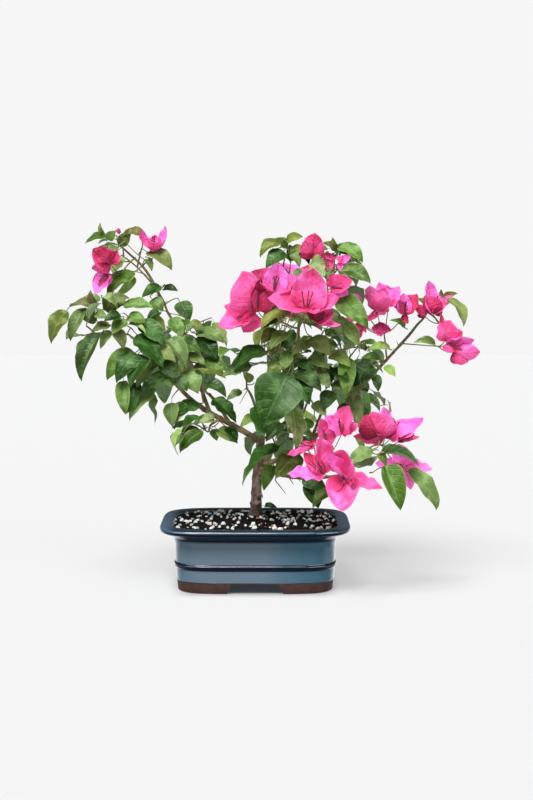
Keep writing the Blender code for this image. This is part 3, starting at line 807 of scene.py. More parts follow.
# The heads of each spray: the throat, then for each bract its tip, facing, width, cup, arch and tint.
# The tints paint light and shade: pink is the plain colour, violet a painted lit copy, rose a painted
# shaded copy, maroon a painted shadowed copy.
headTable = {}
headTable["upper_left_blossom"] = (
    ((-151, -2, 338), (-169, -8, 354, "upLeft", 0.95, 0.9, 0.1, "rose"),
     (-144, 2, 352, "frontRight", 0.8, 1, 0.1, "rose"),
     (-171, -5, 333, "frontDown", 0.8, 0.7, 0.06, "pink")),
    ((-155, 2, 329), (-169, -3, 307, "frontUp", 0.72, 0.6, 0.1, "violet"),
     (-158, 8, 314, "front", 0.7, 0.7, 0.1, "violet"), (-172, 6, 319, "front", 0.6, 0.9, 0.1, "rose")),
)
headTable["upper_tip_blossom"] = (
    ((-105, 8, 352), (-121, 4, 374, "frontRight", 0.4, 1.3, 0.26, "pink"),
     (-95, 10, 378, "frontLeft", 0.4, 1.3, 0.24, "violet"),
     (-106, 16, 369, "front", 0.8, 1.1, 0.14, "rose"), (-107, 2, 361, "back", 1.1, 1.2, 0.1, "pink")),
    ((-144, 20, 370), (-145, 19, 376, "back", 0.7, 1.5, 0.1, "rose"),
     (-148, 18, 374, "frontRight", 0.5, 1.3, 0.1, "pink")),
)
headTable["centre_left_blossom"] = (
    ((2, -40, 292), (-13, -46, 331, "backLeft", 1.02, 0.9, 0.14, "pink"),
     (6, -50, 323, "frontRight", 0.7, 0.9, 0.12, "maroon"),
     (18, -43, 314, "backRight", 0.86, 1.2, 0.12, "rose"),
     (-19, -32, 308, "frontRight", 0.8, 1, 0.12, "rose")),
    ((1, -38, 287), (-38, -48, 275, "frontUp", 0.78, 0.9, 0.08, "pink"),
     (-12, -40, 268, "frontDown", 0.95, 0.7, 0.1, "pink"),
     (-32, -32, 295, "front", 0.66, 0.8, 0.12, "pink")),
    ((19, -46, 310), (24, -52, 340, "front", 0.8, 0.8, 0.12, "violet"),
     (42, -50, 326, "frontLeft", 0.76, 1, 0.1, "pink"),
     (7, -40, 331, "frontRight", 0.85, 0.9, 0.12, "rose")),
)
headTable["centre_blossom"] = (
    ((52, -60, 293), (59, -66, 334, "front", 0.86, 0.8, 0.12, "pink"),
     (85, -68, 305, "upLeft", 0.76, 0.8, 0.1, "pink"), (13, -70, 304, "frontUp", 0.86, 0.7, 0.12, "pink")),
    ((60, -62, 281), (79, -68, 291, "frontLeft", 0.9, 1, 0.14, "rose"),
     (87, -66, 277, "frontUp", 0.42, 0.8, 0.06, "pink"), (66, -58, 299, "front", 0.9, 1, 0.1, "maroon")),
    ((77, -44, 314), (99, -50, 321, "frontLeft", 0.84, 0.9, 0.1, "pink"),
     (96, -46, 307, "frontDown", 0.7, 0.6, 0.08, "violet"), (81, -40, 329, "front", 0.6, 0.9, 0.1, "rose")),
)
headTable["top_blossom"] = (
    ((58, -16, 344), (62, -18, 370, "back", 0.82, 1.5, 0.12, "rose"),
     (49, -19, 361, "backLeft", 0.7, 1.2, 0.1, "rose"),
     (71, -18, 360, "backRight", 0.72, 1.2, 0.1, "rose")),
    ((72, -16, 348), (78, -19, 329, "front", 0.6, 0.9, 0.1, "rose"),
     (84, -18, 343, "frontLeft", 0.5, 0.9, 0.1, "rose"),
     (65, -14, 340, "frontRight", 0.6, 0.9, 0.1, "rose")),
    ((90, -12, 340), (99, -15, 347, "frontLeft", 0.8, 0.8, 0.08, "violet"),
     (84, -14, 346, "frontRight", 0.8, 0.8, 0.08, "pink"),
     (90, -15, 330, "frontDown", 0.9, 0.6, 0.08, "violet"),
     (102, -13, 335, "frontUp", 0.5, 0.5, 0.05, "violet")),
)
headTable["right_inner_blossom"] = (
    ((127, -12, 289), (119, -20, 316, "backRight", 0.92, 1.2, 0.16, "pink"),
     (135, -10, 313, "front", 0.8, 0.9, 0.12, "pink"), (115, -14, 279, "frontRight", 0.5, 1, 0.1, "rose")),
    ((139, -8, 294), (129, -4, 319, "front", 0.7, 0.7, 0.08, "violet"),
     (150, -8, 315, "frontLeft", 0.84, 0.8, 0.1, "violet"),
     (123, -13, 285, "frontDown", 0.6, 0.7, 0.06, "pink")),
    ((156, -8, 286), (169, -7, 307, "frontLeft", 0.86, 1, 0.12, "rose"),
     (143, -11, 301, "frontRight", 0.72, 1.1, 0.1, "rose"),
     (159, -14, 276, "frontDown", 0.66, 0.9, 0.08, "maroon"),
     (155, -5, 308, "front", 0.7, 0.8, 0.1, "violet")),
    ((111, -10, 276), (108, -13, 260, "frontLeft", 0.74, 0.9, 0.1, "rose"),
     (101, -8, 266, "front", 0.6, 0.8, 0.1, "rose"), (116, -6, 266, "front", 0.4, 0.8, 0.1, "rose")),
    ((104, -4, 283), (93, -6, 274, "frontUp", 0.7, 0.8, 0.08, "rose"),
     (94, 0, 288, "front", 0.5, 0.8, 0.1, "pink")),
    ((128, -6, 276), (142, -9, 268, "frontDown", 0.74, 1.1, 0.12, "rose"),
     (132, -6, 262, "frontLeft", 0.8, 1.1, 0.12, "rose")),
    ((109, -2, 298), (101, -2, 307, "front", 0.8, 0.8, 0.08, "violet")),
)
headTable["right_tip_blossom"] = (
    ((186, -10, 286), (178, -14, 307, "backRight", 0.86, 1.3, 0.14, "rose"),
     (181, -9, 321, "frontRight", 0.62, 0.8, 0.08, "violet"),
     (195, -13, 298, "frontRight", 0.72, 1.4, 0.1, "rose"),
     (206, -7, 306, "frontUp", 0.46, 0.8, 0.06, "pink")),
    ((178, -6, 283), (166, -10, 294, "frontUp", 0.9, 1.2, 0.12, "rose"),
     (169, -9, 285, "frontDown", 0.5, 1, 0.08, "maroon")),
    ((198, -12, 258), (203, -20, 280, "backRight", 0.94, 1.3, 0.16, "pink"),
     (192, -16, 278, "backLeft", 0.6, 1.2, 0.12, "pink"), (194, -13, 287, "front", 0.22, 1.4, 0.04, "rose"),
     (216, -18, 268, "backRight", 0.8, 1.2, 0.1, "rose")),
    ((199, -14, 255), (228, -20, 259, "frontDown", 0.62, 1, 0.12, "violet"),
     (206, -19, 246, "backLeft", 0.9, 1.1, 0.12, "pink"), (222, -13, 250, "front", 0.6, 0.9, 0.1, "rose")),
    ((206, -14, 246), (234, -20, 247, "back", 0.66, 1.3, 0.16, "pink"),
     (222, -18, 236, "backLeft", 0.9, 1.2, 0.14, "rose")),
)
headTable["low_centre_blossom"] = (
    ((72, -68, 156), (67, -75, 183, "frontRight", 0.84, 0.9, 0.12, "pink"),
     (58, -65, 159, "front", 0.5, 0.8, 0.1, "rose"), (82, -62, 172, "front", 0.6, 0.8, 0.1, "rose")),
    ((88, -66, 166), (71, -70, 186, "frontRight", 0.6, 0.8, 0.08, "violet"),
     (95, -70, 196, "frontLeft", 0.84, 0.8, 0.1, "pink"),
     (105, -65, 177, "frontLeft", 0.7, 0.9, 0.1, "pink"),
     (79, -63, 169, "frontRight", 0.6, 1, 0.1, "rose")),
    ((69, -88, 128), (66, -98, 167, "frontRight", 0.66, 1, 0.12, "pink"),
     (33, -100, 131, "frontUp", 0.56, 0.6, 0.08, "violet"), (49, -84, 150, "front", 0.5, 0.8, 0.1, "rose")),
    ((60, -80, 156), (32, -88, 148, "frontUp", 0.28, 1.4, 0.14, "pink"),
     (46, -76, 160, "front", 0.3, 0.9, 0.1, "rose")),
    ((90, -86, 126), (88, -108, 155, "frontLeft", 0.96, 0.9, 0.14, "pink"),
     (71, -110, 150, "right", 0.44, 1.6, 0.08, "violet"),
     (128, -96, 115, "frontUp", 0.46, 0.8, 0.1, "pink"), (86, -119, 96, "front", 0.74, 0.5, 0.06, "pink"),
     (76, -100, 110, "frontLeft", 0.46, 1, 0.08, "pink")),
)
headTable["low_right_blossom"] = (
    ((133, -52, 161), (120, -59, 189, "backRight", 0.9, 1.3, 0.15, "pink"),
     (100, -56, 163, "frontDown", 0.46, 0.8, 0.08, "pink"),
     (142, -50, 181, "front", 0.7, 0.9, 0.1, "maroon")),
    ((125, -56, 163), (110, -62, 185, "backLeft", 0.78, 1.5, 0.12, "maroon")),
    ((138, -48, 159), (172, -52, 182, "upLeft", 0.62, 0.8, 0.14, "violet"),
     (132, -42, 192, "front", 0.5, 0.8, 0.1, "violet")),
    ((146, -56, 157), (168, -58, 163, "frontUp", 0.36, 1.8, 0.03, "rose"),
     (163, -56, 166, "front", 0.3, 1.6, 0.03, "rose")),
    ((153, -42, 130), (147, -46, 154, "front", 0.86, 0.8, 0.1, "violet"),
     (183, -46, 129, "frontUp", 0.66, 0.7, 0.14, "violet"),
     (161, -45, 106, "frontDown", 0.56, 0.7, 0.08, "violet"),
     (124, -44, 134, "frontRight", 0.56, 0.7, 0.08, "violet")),
)

backHead = {
    "opening": (32, 60),  # degrees from the head's axis
    "lengths": (0.85, 1.08),
    "widths": (0.74, 0.92),
    "cups": (0.6, 1.1),
    "arches": (0.06, 0.14),
    "tints": ("pink", "rose", "violet"),
    "shares": (5, 4, 2),
    "sway": 0.2,
}
tubeRule = {
    "share": 0.52,  # of the bract's length
    "longest": 19,
    "start": 0.06,  # along its bract
    "lean": 0.14,
    "gather": 0.74,  # how far a tube turns from its bract to the head's axis
    "smallest": 19,  # shorter bracts have no tube
}
# Radii in millimetres, at the root and at the tip.
stalkLook = {
    "stem": 0.7,
    "head": (0.65, 0.42),
    "side": (0.75, 0.6),
    "sideRoot": 0.86,  # how far along its limb a second stem leaves
    "sag": 4,
    "sagShare": 0.12,  # of a stalk's length, up to the whole sag
}

# Boughs that carry two limbs on past their ends, and the sprays that hang from them.
leaders = {
    "riser": ((-98, 26, 293), (-104, 28, 308), (-113, 30, 325), (-122, 32, 337),
              (-134, 33, 348), (-145, 34, 358)),
    "arm": ((152, 17, 250), (163, 12, 263), (171, 8, 274), (178, 5, 282), (184, 2, 294)),
}
leaderGirth = (1.8, 1.0)
leaderOf = {"upper_left_blossom": "riser", "upper_tip_blossom": "riser", "right_tip_blossom": "arm"}

# A spray whose stem leaves its limb lower down, and a second place that stalks part at.
stemShares = {"right_inner_blossom": 0.6}
sideHubs = {"right_tip_blossom": (192, -6, 252)}

bracts = []
tubes = []
stalks = []
leaderPaths = {name: [metres(place) for place in places] for name, places in leaders.items()}


def nearestOn(strands, place):
    # The closest place on any of the strands.
    best, gap = None, math.inf
    for path in strands:
        for before, after in zip(path, path[1:]):
            span = after - before
            share = min(1, max(0, (place - before).dot(span) / span.length_squared))
            near = before + span * share
            if 0.1 * mm < (near - place).length < gap:
                best, gap = near, (near - place).length
    return best


def addBract(foot, tip, facing, width, cup, arch, tint):
    chord = tip - foot
    length = chord.length
    facing = (facing - chord * (facing.dot(chord) / length ** 2)).normalized()
    bracts.append({"foot": foot, "tip": tip, "facing": facing, "width": width, "cup": cup,
                   "arch": arch, "tint": tint})
    obstacles.append(coarseLeaf(foot, chord, facing, length)[0])
    addShown(foot, tip, width)
    return chord, facing, length


def addTubes(throat, made):
    # Each longer bract's tube, leaning in towards the others of its head.
    axis = sum((chord / length for chord, _, length in made), Vector()).normalized()
    for chord, facing, length in made:
        if length > tubeRule["smallest"] * mm:
            reach = min(length * tubeRule["share"], tubeRule["longest"] * mm)
            heading = (chord / length).lerp(axis, tubeRule["gather"]) + facing * tubeRule["lean"]
            tubes.append((throat + chord * tubeRule["start"] + facing * mm, heading.normalized(), reach))


def addStalk(hubs, throat):
    hub = min(hubs, key=lambda place: (place - throat).length)
    sag = min(stalkLook["sag"] * mm, (throat - hub).length * stalkLook["sagShare"])
    middle = hub.lerp(throat, 0.5) - up * sag
    stalks.append((bend(hub, middle, throat, 4), stalkLook["head"]))


def ruledHead(throat, axis, length, rng):
    # Three bracts round an axis, for the heads that the photograph doesn't show.
    across = axis.orthogonal().normalized()
    phase = rng.uniform(0, 2 * math.pi)
    made = []
    for step in range(3):
        turn = phase + step * 2 * math.pi / 3 + rng.uniform(-backHead["sway"], backHead["sway"])
        side = Matrix.Rotation(turn, 3, axis) @ across
        opening = math.radians(rng.uniform(*backHead["opening"]))
        along = axis * math.cos(opening) + side * math.sin(opening)
        rise = axis * math.sin(opening) - side * math.cos(opening)
        reach = along * length * rng.uniform(*backHead["lengths"])
        width, cup, arch = [rng.uniform(*backHead[key]) for key in ("widths", "cups", "arches")]
        tint = rng.choices(backHead["tints"], backHead["shares"])[0]
        made.append(addBract(throat + along * mm, throat + reach, rise, width, cup, arch, tint))
    addTubes(throat, made)


for name, (limb, middle, heads) in sprayTable.items():
    rng = random.Random(name)
    middle = metres(middle)
    if name in stemShares:
        start, heading = pointAlong(paths[limb], stemShares[name])
        heading = (middle - start).normalized()
    elif name in leaderOf:
        start = nearestOn([leaderPaths[leaderOf[name]]], middle)
        heading = (middle - start).normalized()
    else:
        start, heading = stemStart(limb, middle)
    first = start + heading * twigRule["stemLead"] * mm
    hub = first.lerp(middle, headRule["hubShare"]) - up * headRule["hubDrop"] * mm
    stem = [start - heading * 2 * mm] + bend(first, first.lerp(hub, 0.5) + up * mm, hub, 2)
    slimmest = stalkLook["stem"]
    stalks.append((stem, (max(slimmest, radii[limb][-1] * 0.9), slimmest)))
    hubs = [hub]
    if name in sideHubs:
        hubs.append(metres(sideHubs[name]))
        near, _ = pointAlong(paths[limb], stalkLook["sideRoot"])
        stalks.append(([near, near.lerp(hubs[1], 0.5), hubs[1]], stalkLook["side"]))
    obstacles.append(tubeTree(stem, [twigRule["stemRadius"]] * len(stem), 3))
    for throat, *table in headTable.get(name, ()):
        throat = metres(throat)
        addStalk(hubs, throat)
        addTubes(throat, [addBract(throat, metres(tip), Vector(facings[facing]), width, cup, arch, tint)
                          for *tip, facing, width, cup, arch, tint in table])
    for x, y, z, length in heads:
        centre = metres((x, y, z))
        forward = math.copysign(headRule["forward"], centre.y)
        axis = ((centre - hub).normalized() + Vector((0, forward, headRule["rise"]))).normalized()
        throat = centre - axis * headRule["depth"] * length * mm
        addStalk(hubs, throat)
        ruledHead(throat, axis, length * mm, rng)
print(f"blossom: {len(bracts)} bracts")


# Leaves: first those that stand out, then the rule's.
# Each tint's: where the blade starts, its tip, the way its upper face looks in tenths, width, form.
featureLeaves = {}
# The deep tint is partly a darker leaf green and partly painted shade.
featureLeaves["deep"] = (
    (33, -62, 226, 9, -78, 174, 1, -10, 5, 1.3, 0), (-123, -40, 217, -132, -46, 185, 3, -10, 3, 0.7, 1),
    (-30, -26, 168, -19, -34, 153, 3, -10, 5, 1, 1), (-42, -36, 200, -19, -48, 175, 4, -8, 7, 1, 4),
    (26, -30, 149, -13, -44, 109, -6, -7, 6, 0.74, 3), (126, -70, 145, 165, -84, 135, 1, -5, 10, 0.8, 1),
    (57, -48, 117, 65, -54, 88, 1, -10, 3, 1.1, 0), (110, -20, 207, 110, -26, 168, 6, -8, 2, 0.42, 5),
    (112, -10, 198, 130, -20, 184, 4, -8, 6, 1, 1), (126, 0, 222, 129, -8, 204, 3, -10, 4, 0.9, 0),
    (89, -34, 307, 105, -38, 294, 4, -6, 7, 0.8, 0), (104, -38, 118, 129, -44, 113, 0, 3, -9, 0.5, 0),
    (57, -50, 154, 34, -58, 159, -1, -7, 7, 0.62, 0), (49, -50, 119, 74, -56, 107, 1, -9, 5, 1, 0),
    (-156, -50, 267, -176, -58, 219, -5, -8, 3, 0.58, 1),
    (-121, -44, 266, -92, -52, 231, 3, -8, 5, 0.86, 4), (-118, -36, 279, -92, -44, 255, 3, -8, 5, 0.95, 0),
    (-60, -2, 262, -39, -14, 237, 4, -8, 4, 1, 0), (-80, 14, 298, -69, 6, 278, 3, -9, 3, 1.29, 0),
    (-120, -46, 245, -141, -56, 217, -3, -8, 5, 1.14, 0),
    (-110, -50, 244, -126, -58, 212, -3, -9, 4, 0.95, 2),
    (-94, -44, 222, -116, -52, 205, -2, -7, 7, 0.86, 1), (-59, -26, 192, -84, -36, 182, -2, -7, 7, 1.14, 0),
    (-95, -34, 238, -81, -40, 220, 2, -9, 4, 1.21, 0), (-79, -30, 222, -70, -36, 207, 2, -9, 4, 1.21, 0),
    (-50, -26, 214, -30, -34, 200, 3, -8, 5, 1.03, 1), (13, -30, 247, -22, -44, 226, -3, -7, 6, 0.9, 2),
    (42, -36, 221, 56, -46, 194, 2, -9, 4, 1.03, 0), (43, -30, 226, 68, -42, 207, 3, -8, 5, 0.79, 2),
    (79, -14, 227, 98, -26, 217, 3, -7, 7, 1.03, 0), (80, -18, 206, 71, -28, 186, -1, -9, 4, 1.2, 0),
    (28, -20, 172, 11, -30, 154, -3, -9, 4, 0.95, 1), (123, -4, 232, 103, -14, 210, -3, -9, 3, 1.29, 0),
    (-98, 22, 311, -82, 16, 309, 2, -7, 7, 0.86, 2), (-100, 18, 314, -120, 10, 302, -3, -8, 5, 1.03, 0),
    (30, -12, 351, 11, -20, 333, -3, -9, 4, 1.1, 0), (47, -4, 350, 56, -10, 337, 3, -9, 3, 1.07, 1),
    (22, -10, 334, 30, -16, 325, 2, -8, 4, 1.03, 0), (10, 0, 82, 23, -6, 81, 0, -8, 6, 0.62, 2),
    (45, -28, 238, 59, -36, 228, 3, -8, 4, 1.07, 0), (38, -20, 202, 47, -28, 182, 2, -9, 3, 1.07, 1),
    (22, -30, 283, 7, -38, 271, -3, -8, 5, 1.14, 0), (-137, -50, 287, -153, -58, 280, -2, -9, 4, 1.07, 0),
    (-99, -16, 288, -112, -24, 278, -3, -8, 5, 1.03, 1),
)
featureLeaves["mid"] = (
    (-103, -36, 211, -129, -44, 177, -5, -8, 5, 0.86, 0), (-54, -30, 165, -78, -38, 143, -4, -9, 7, 0.9, 0),
    (131, -84, 137, 146, -92, 92, 4, -10, 3, 0.95, 5), (153, -66, 128, 184, -72, 89, 5, -8, 5, 0.46, 3),
    (120, -64, 150, 93, -76, 136, -2, -8, 8, 0.78, 4), (-158, 30, 368, -181, 24, 359, 0, -7, 9, 0.9, 0),
    (-3, -34, 233, -34, -46, 222, -2, -6, 9, 0.8, 4), (-115, 12, 343, -109, 8, 330, 2, -9, 4, 0.9, 1),
    (85, -36, 303, 116, -44, 273, -4, -8, 5, 0.88, 1), (157, -2, 271, 140, -8, 279, 0, -8, 6, 0.8, 2),
    (179, 4, 296, 169, 0, 302, 0, -8, 5, 0.9, 0), (78, -54, 108, 59, -60, 89, -2, -9, 5, 0.8, 2),
    (-174, -52, 291, -187, -58, 260, -2, -9, 5, 0.66, 1),
    (-135, -30, 295, -104, -40, 293, 1, -6, 8, 0.86, 0),
    (-163, -42, 278, -184, -40, 291, -2, -7, 7, 0.95, 1),
    (-132, -46, 281, -145, -54, 266, -3, -8, 5, 1.29, 0),
    (-131, -38, 283, -111, -44, 277, 1, -7, 7, 1.03, 2), (-84, -14, 258, -57, -24, 246, 2, -7, 7, 1.14, 0),
    (-61, 4, 264, -33, -8, 255, 3, -6, 7, 0.95, 2), (-92, -22, 259, -72, -32, 232, 3, -8, 5, 1.03, 1),
    (-123, -34, 247, -152, -42, 219, -4, -8, 5, 0.95, 1),
    (-135, -44, 219, -132, -48, 184, -2, -9, 3, 0.7, 1),
    (-81, -34, 215, -105, -42, 226, -1, -7, 7, 1.03, 4), (-86, -30, 195, -85, -36, 170, -2, -9, 3, 1.03, 0),
    (-56, -20, 165, -78, -28, 142, -3, -8, 5, 1.03, 2), (-44, -18, 166, -40, -22, 154, 2, -9, 3, 1.21, 0),
    (-72, -20, 228, -59, -30, 204, 2, -9, 4, 1.29, 0), (-55, -6, 237, -29, -16, 226, 2, -7, 7, 1.03, 0),
    (80, -10, 213, 98, -20, 205, 2, -7, 7, 0.97, 0), (19, -18, 128, 9, -26, 102, -3, -9, 3, 0.79, 1),
    (63, -26, 287, 89, -38, 267, 3, -7, 6, 1.07, 2), (131, 4, 237, 111, -2, 239, -1, -7, 7, 0.86, 1),
    (96, -12, 241, 94, -22, 199, 1, -9, 3, 0.69, 0), (-156, 20, 364, -147, 16, 373, 0, -9, 3, 1.29, 0),
    (-146, 14, 356, -156, 8, 348, -2, -9, 4, 1.29, 0), (-109, 12, 301, -97, 6, 288, 1, -9, 4, 1.38, 0),
    (34, 4, 356, 19, 0, 364, -1, -8, 6, 1.2, 0), (38, -6, 348, 46, -12, 334, 2, -9, 4, 1.03, 1),
    (87, 2, 355, 112, -8, 339, 5, -7, 5, 0.92, 2), (88, 0, 349, 107, -10, 339, 3, -8, 4, 0.62, 1),
    (88, -18, 330, 119, -30, 318, 2, -7, 7, 0.92, 2), (48, -12, 332, 39, -18, 323, -2, -8, 4, 1.03, 0),
    (68, -14, 334, 78, -20, 314, 3, -9, 3, 1.07, 1), (-128, 16, 329, -156, 4, 303, -6, -7, 5, 1.2, 0),
    (36, -30, 247, 28, -36, 228, -2, -9, 3, 1.07, 4), (55, -24, 241, 77, -32, 230, 2, -7, 6, 0.97, 0),
    (30, -26, 244, 15, -32, 230, -3, -8, 5, 1.03, 0), (59, -24, 176, 46, -32, 160, -3, -9, 4, 1.1, 0),
    (-43, -20, 181, -56, -26, 173, -2, -8, 5, 0.97, 0), (52, -36, 279, 69, -44, 269, 2, -8, 5, 1.03, 1),
    (65, -26, 226, 77, -34, 210, 3, -9, 3, 1.07, 0), (-162, -48, 289, -150, -54, 283, 1, -9, 4, 1.21, 0),
    (-87, -6, 282, -76, -14, 261, 3, -9, 3, 1.07, 0), (-72, -16, 247, -51, -24, 233, 3, -8, 4, 0.97, 4),
    (-92, -34, 248, -106, -42, 229, -3, -9, 4, 1.03, 1),
)
featureLeaves["fresh"] = (
    (-71, -24, 194, -86, -34, 170, -3, -10, 6, 1, 0), (189, -4, 252, 165, -14, 256, 0, -7, 8, 0.7, 1),
    (143, 6, 247, 117, -4, 246, 0, -6, 9, 0.7, 1), (123, 4, 229, 102, -8, 208, -3, -9, 6, 0.7, 0),
    (-145, 26, 358, -131, 20, 375, 3, -9, 2, 0.9, 4), (73, -24, 332, 53, -34, 331, 1, 8, -5, 1, 4),
    (91, -28, 278, 107, -34, 253, 3, -9, 4, 0.85, 0), (125, -58, 144, 95, -70, 136, 0, 5, -9, 0.5, 4),
    (-148, -40, 270, -158, -44, 251, -3, -9, 3, 0.86, 0),
    (-130, -42, 276, -111, -50, 266, 2, -6, 8, 0.69, 1), (-42, -22, 175, -65, -30, 172, 0, -7, 8, 0.83, 1),
    (-39, -20, 166, -18, -28, 152, 3, -8, 5, 0.95, 0), (-8, -22, 239, -26, -30, 230, -2, -8, 5, 1.03, 0),
    (78, -10, 242, 99, -22, 231, 3, -7, 6, 0.97, 2), (0, -16, 180, -16, -24, 168, -2, -9, 4, 0.86, 0),
    (38, -36, 283, 58, -44, 271, 2, -6, 8, 0.79, 1), (137, 0, 231, 147, -6, 220, 3, -8, 4, 1.14, 0),
    (72, -18, 339, 55, -26, 336, 0, -9.5, 3, 1.5, 4), (-130, 18, 326, -150, 10, 303, 3, -9, -1, 0.6, 1),
    (33, -34, 268, 15, -44, 250, -3, -8, 5, 0.97, 0), (35, -14, 188, 23, -22, 174, -3, -9, 4, 1.03, 0),
    (-3, -14, 216, -13, -16, 226, -2, -9, 2, 1.07, 0), (-14, -20, 206, -30, -26, 196, -2, -8, 5, 0.86, 0),
    (82, -22, 282, 95, -30, 263, 4, -8, 3, 0.97, 2), (61, -18, 194, 74, -26, 180, 3, -9, 3, 1.07, 0),
    (-155, -36, 304, -140, -44, 292, 2, -9, 3, 1, 3), (-159, -34, 301, -175, -38, 305, -2, -8, 5, 0.86, 0),
)
featureLeaves["olive"] = (
    (197, -10, 301, 216, -20, 273, 7, -5, 6, 0.76, 2), (-114, 18, 350, -88, 8, 331, 4, -7, 7, 0.9, 2),
    (111, -58, 152, 102, -60, 162, -2, -9, 4, 0.7, 0), (126, -72, 148, 133, -78, 135, -3, -9, 5, 0.9, 1),
    (-190, -54, 291, -206, -60, 257, -5, -8, 5, 1.08, 0),
    (-145, -40, 289, -155, -50, 305, -4, -8, 4, 1.03, 4),
    (-148, -24, 292, -130, -20, 297, 1, -8, 6, 1.03, 1),
    (-148, -44, 276, -167, -50, 268, -1, -7, 7, 1.03, 0),
    (-143, -46, 270, -134, -50, 251, 2, -9, 4, 1.07, 1), (-94, -18, 274, -113, -28, 279, -1, -8, 6, 1.2, 0),
    (-104, -42, 233, -121, -48, 212, -2, -8, 6, 0.86, 1), (-62, -12, 234, -30, -24, 219, 2, -6, 8, 1.14, 4),
    (24, -24, 269, 6, -34, 255, -3, -8, 5, 1.21, 0), (37, -32, 290, 6, -44, 270, -3, -7, 6, 1.03, 2),
    (58, -28, 262, 77, -38, 244, 3, -8, 4, 1.14, 0), (-161, 26, 370, -164, 24, 382, -5, -9, 2, 0.9, 1),
    (33, 2, 362, 50, -2, 366, 1, -8, 6, 0.95, 2), (26, -2, 360, 5, -12, 344, -4, -8, 5, 1.03, 2),
    (37, 0, 349, 54, -4, 356, 0, -8, 6, 1, 0), (83, 6, 356, 70, 2, 360, -1, -8, 6, 0.86, 0),
    (85, 0, 352, 81, -2, 366, -2, -9, 1, 0.95, 1), (58, -30, 257, 38, -38, 244, -1, -7, 7, 0.97, 0),
    (26, -34, 235, 12, -42, 223, -3, -8, 5, 1.14, 0), (47, -34, 141, 21, -44, 117, -3, -8, 5, 1.24, 0),
    (-151, -28, 301, -129, -30, 303, 1, -8, 5, 0.86, 0), (-69, 0, 277, -54, -8, 268, 3, -8, 4, 1.03, 0),
    (-108, -34, 254, -81, -44, 238, 3, -8, 5, 0.9, 0),
)
featureLeaves["bronze"] = (
    (-142, 30, 367, -114, 22, 365, 0, -5, 10, 0.75, 2), (198, 2, 301, 212, -4, 307, 2, -8, 6, 0.7, 3),
    (194, 4, 301, 195, 2, 312, 2, -9, 2, 0.9, 0), (-161, -44, 292, -190, -52, 293, -1, -7, 7, 0.86, 2),
    (-162, -46, 295, -167, -48, 312, -3, -9, 1, 1.03, 1),
)

# How the tints are dealt out in each mass: deep, mid, fresh, olive, bronze.
tintNames = ("deep", "mid", "fresh", "olive", "bronze")
tintShares = {
    "left_tip_leaves": (1, 3, 3, 3, 2),
    "left_middle_leaves": (3, 4, 2, 1, 0),
    "left_low_leaves": (3, 4, 3, 0, 0),
    "left_shoulder_leaves": (2, 4, 3, 1, 0),
    "upper_left_leaves": (1, 4, 3, 2, 1),
    "centre_left_leaves": (2, 3, 3, 1, 0),
    "centre_front_leaves": (5, 4, 1, 0, 0),
    "top_left_leaves": (1, 3, 3, 3, 1),
    "top_right_leaves": (1, 4, 3, 2, 0),
    "right_arm_leaves": (2, 4, 4, 1, 0),
}
usualShares = (3, 4, 3, 1, 0)

shootLook = {
    "perTwig": 2,  # finer twigs that leave each twig
    "leave": (0.35, 0.95),  # how far along it
    "length": (12, 24),
    "lean": 0.7,  # towards the twig's tip
    "rise": 0.35,
    "arch": 1.5,
    "girths": [0.62, 0.56, 0.5, 0.42],
    "radius": 0.5,  # for the touching test
    "leaves": (2, 4),
    "leafShare": (0.42, 0.78),  # of the mass's longest leaf
    "shrink": 0.25,  # towards the shoot's tip
    "forward": (0.3, 1.0),
    "hang": (0.3, 1.3),
    "sway": 0.4,
    "roll": 0.5,
    "widths": (0.84, 1.02),
}
ruleWidths = (0.82, 1.1)  # of the leaves that the model's rule sets

leaves = []
twigLines = []


def addLeaf(found, tint, form, width, tone):
    found.update({"tint": tint, "form": form, "width": width, "tone": tone})
    leaves.append(found)


stalkShare = 0.2  # of the blade, which the rows give without its stalk
widen = (1.0, 1.14, 1.0, 1.1, 0.98, 1.22)  # what each form loses in width by its fold
for tint, rows in featureLeaves.items():
    for *places, width, form in rows:
        base, tip = metres(places[:3]), metres(places[3:6])
        facing = Vector([tenth / 10 for tenth in places[6:]])
        root = base - (tip - base) * stalkShare
        chord = tip - root
        tree, _, _, zAxis = coarseLeaf(root, chord, facing, chord.length)
        obstacles.append(tree)
        addShown(base, tip, sightRule["leafWidth"] * width)
        tone = ((base.x * 7 + tip.z * 13) * 100) % 1
        found = {"place": root, "chord": chord, "up": zAxis, "feature": True}
        addLeaf(found, tint, form, width * widen[form], tone)

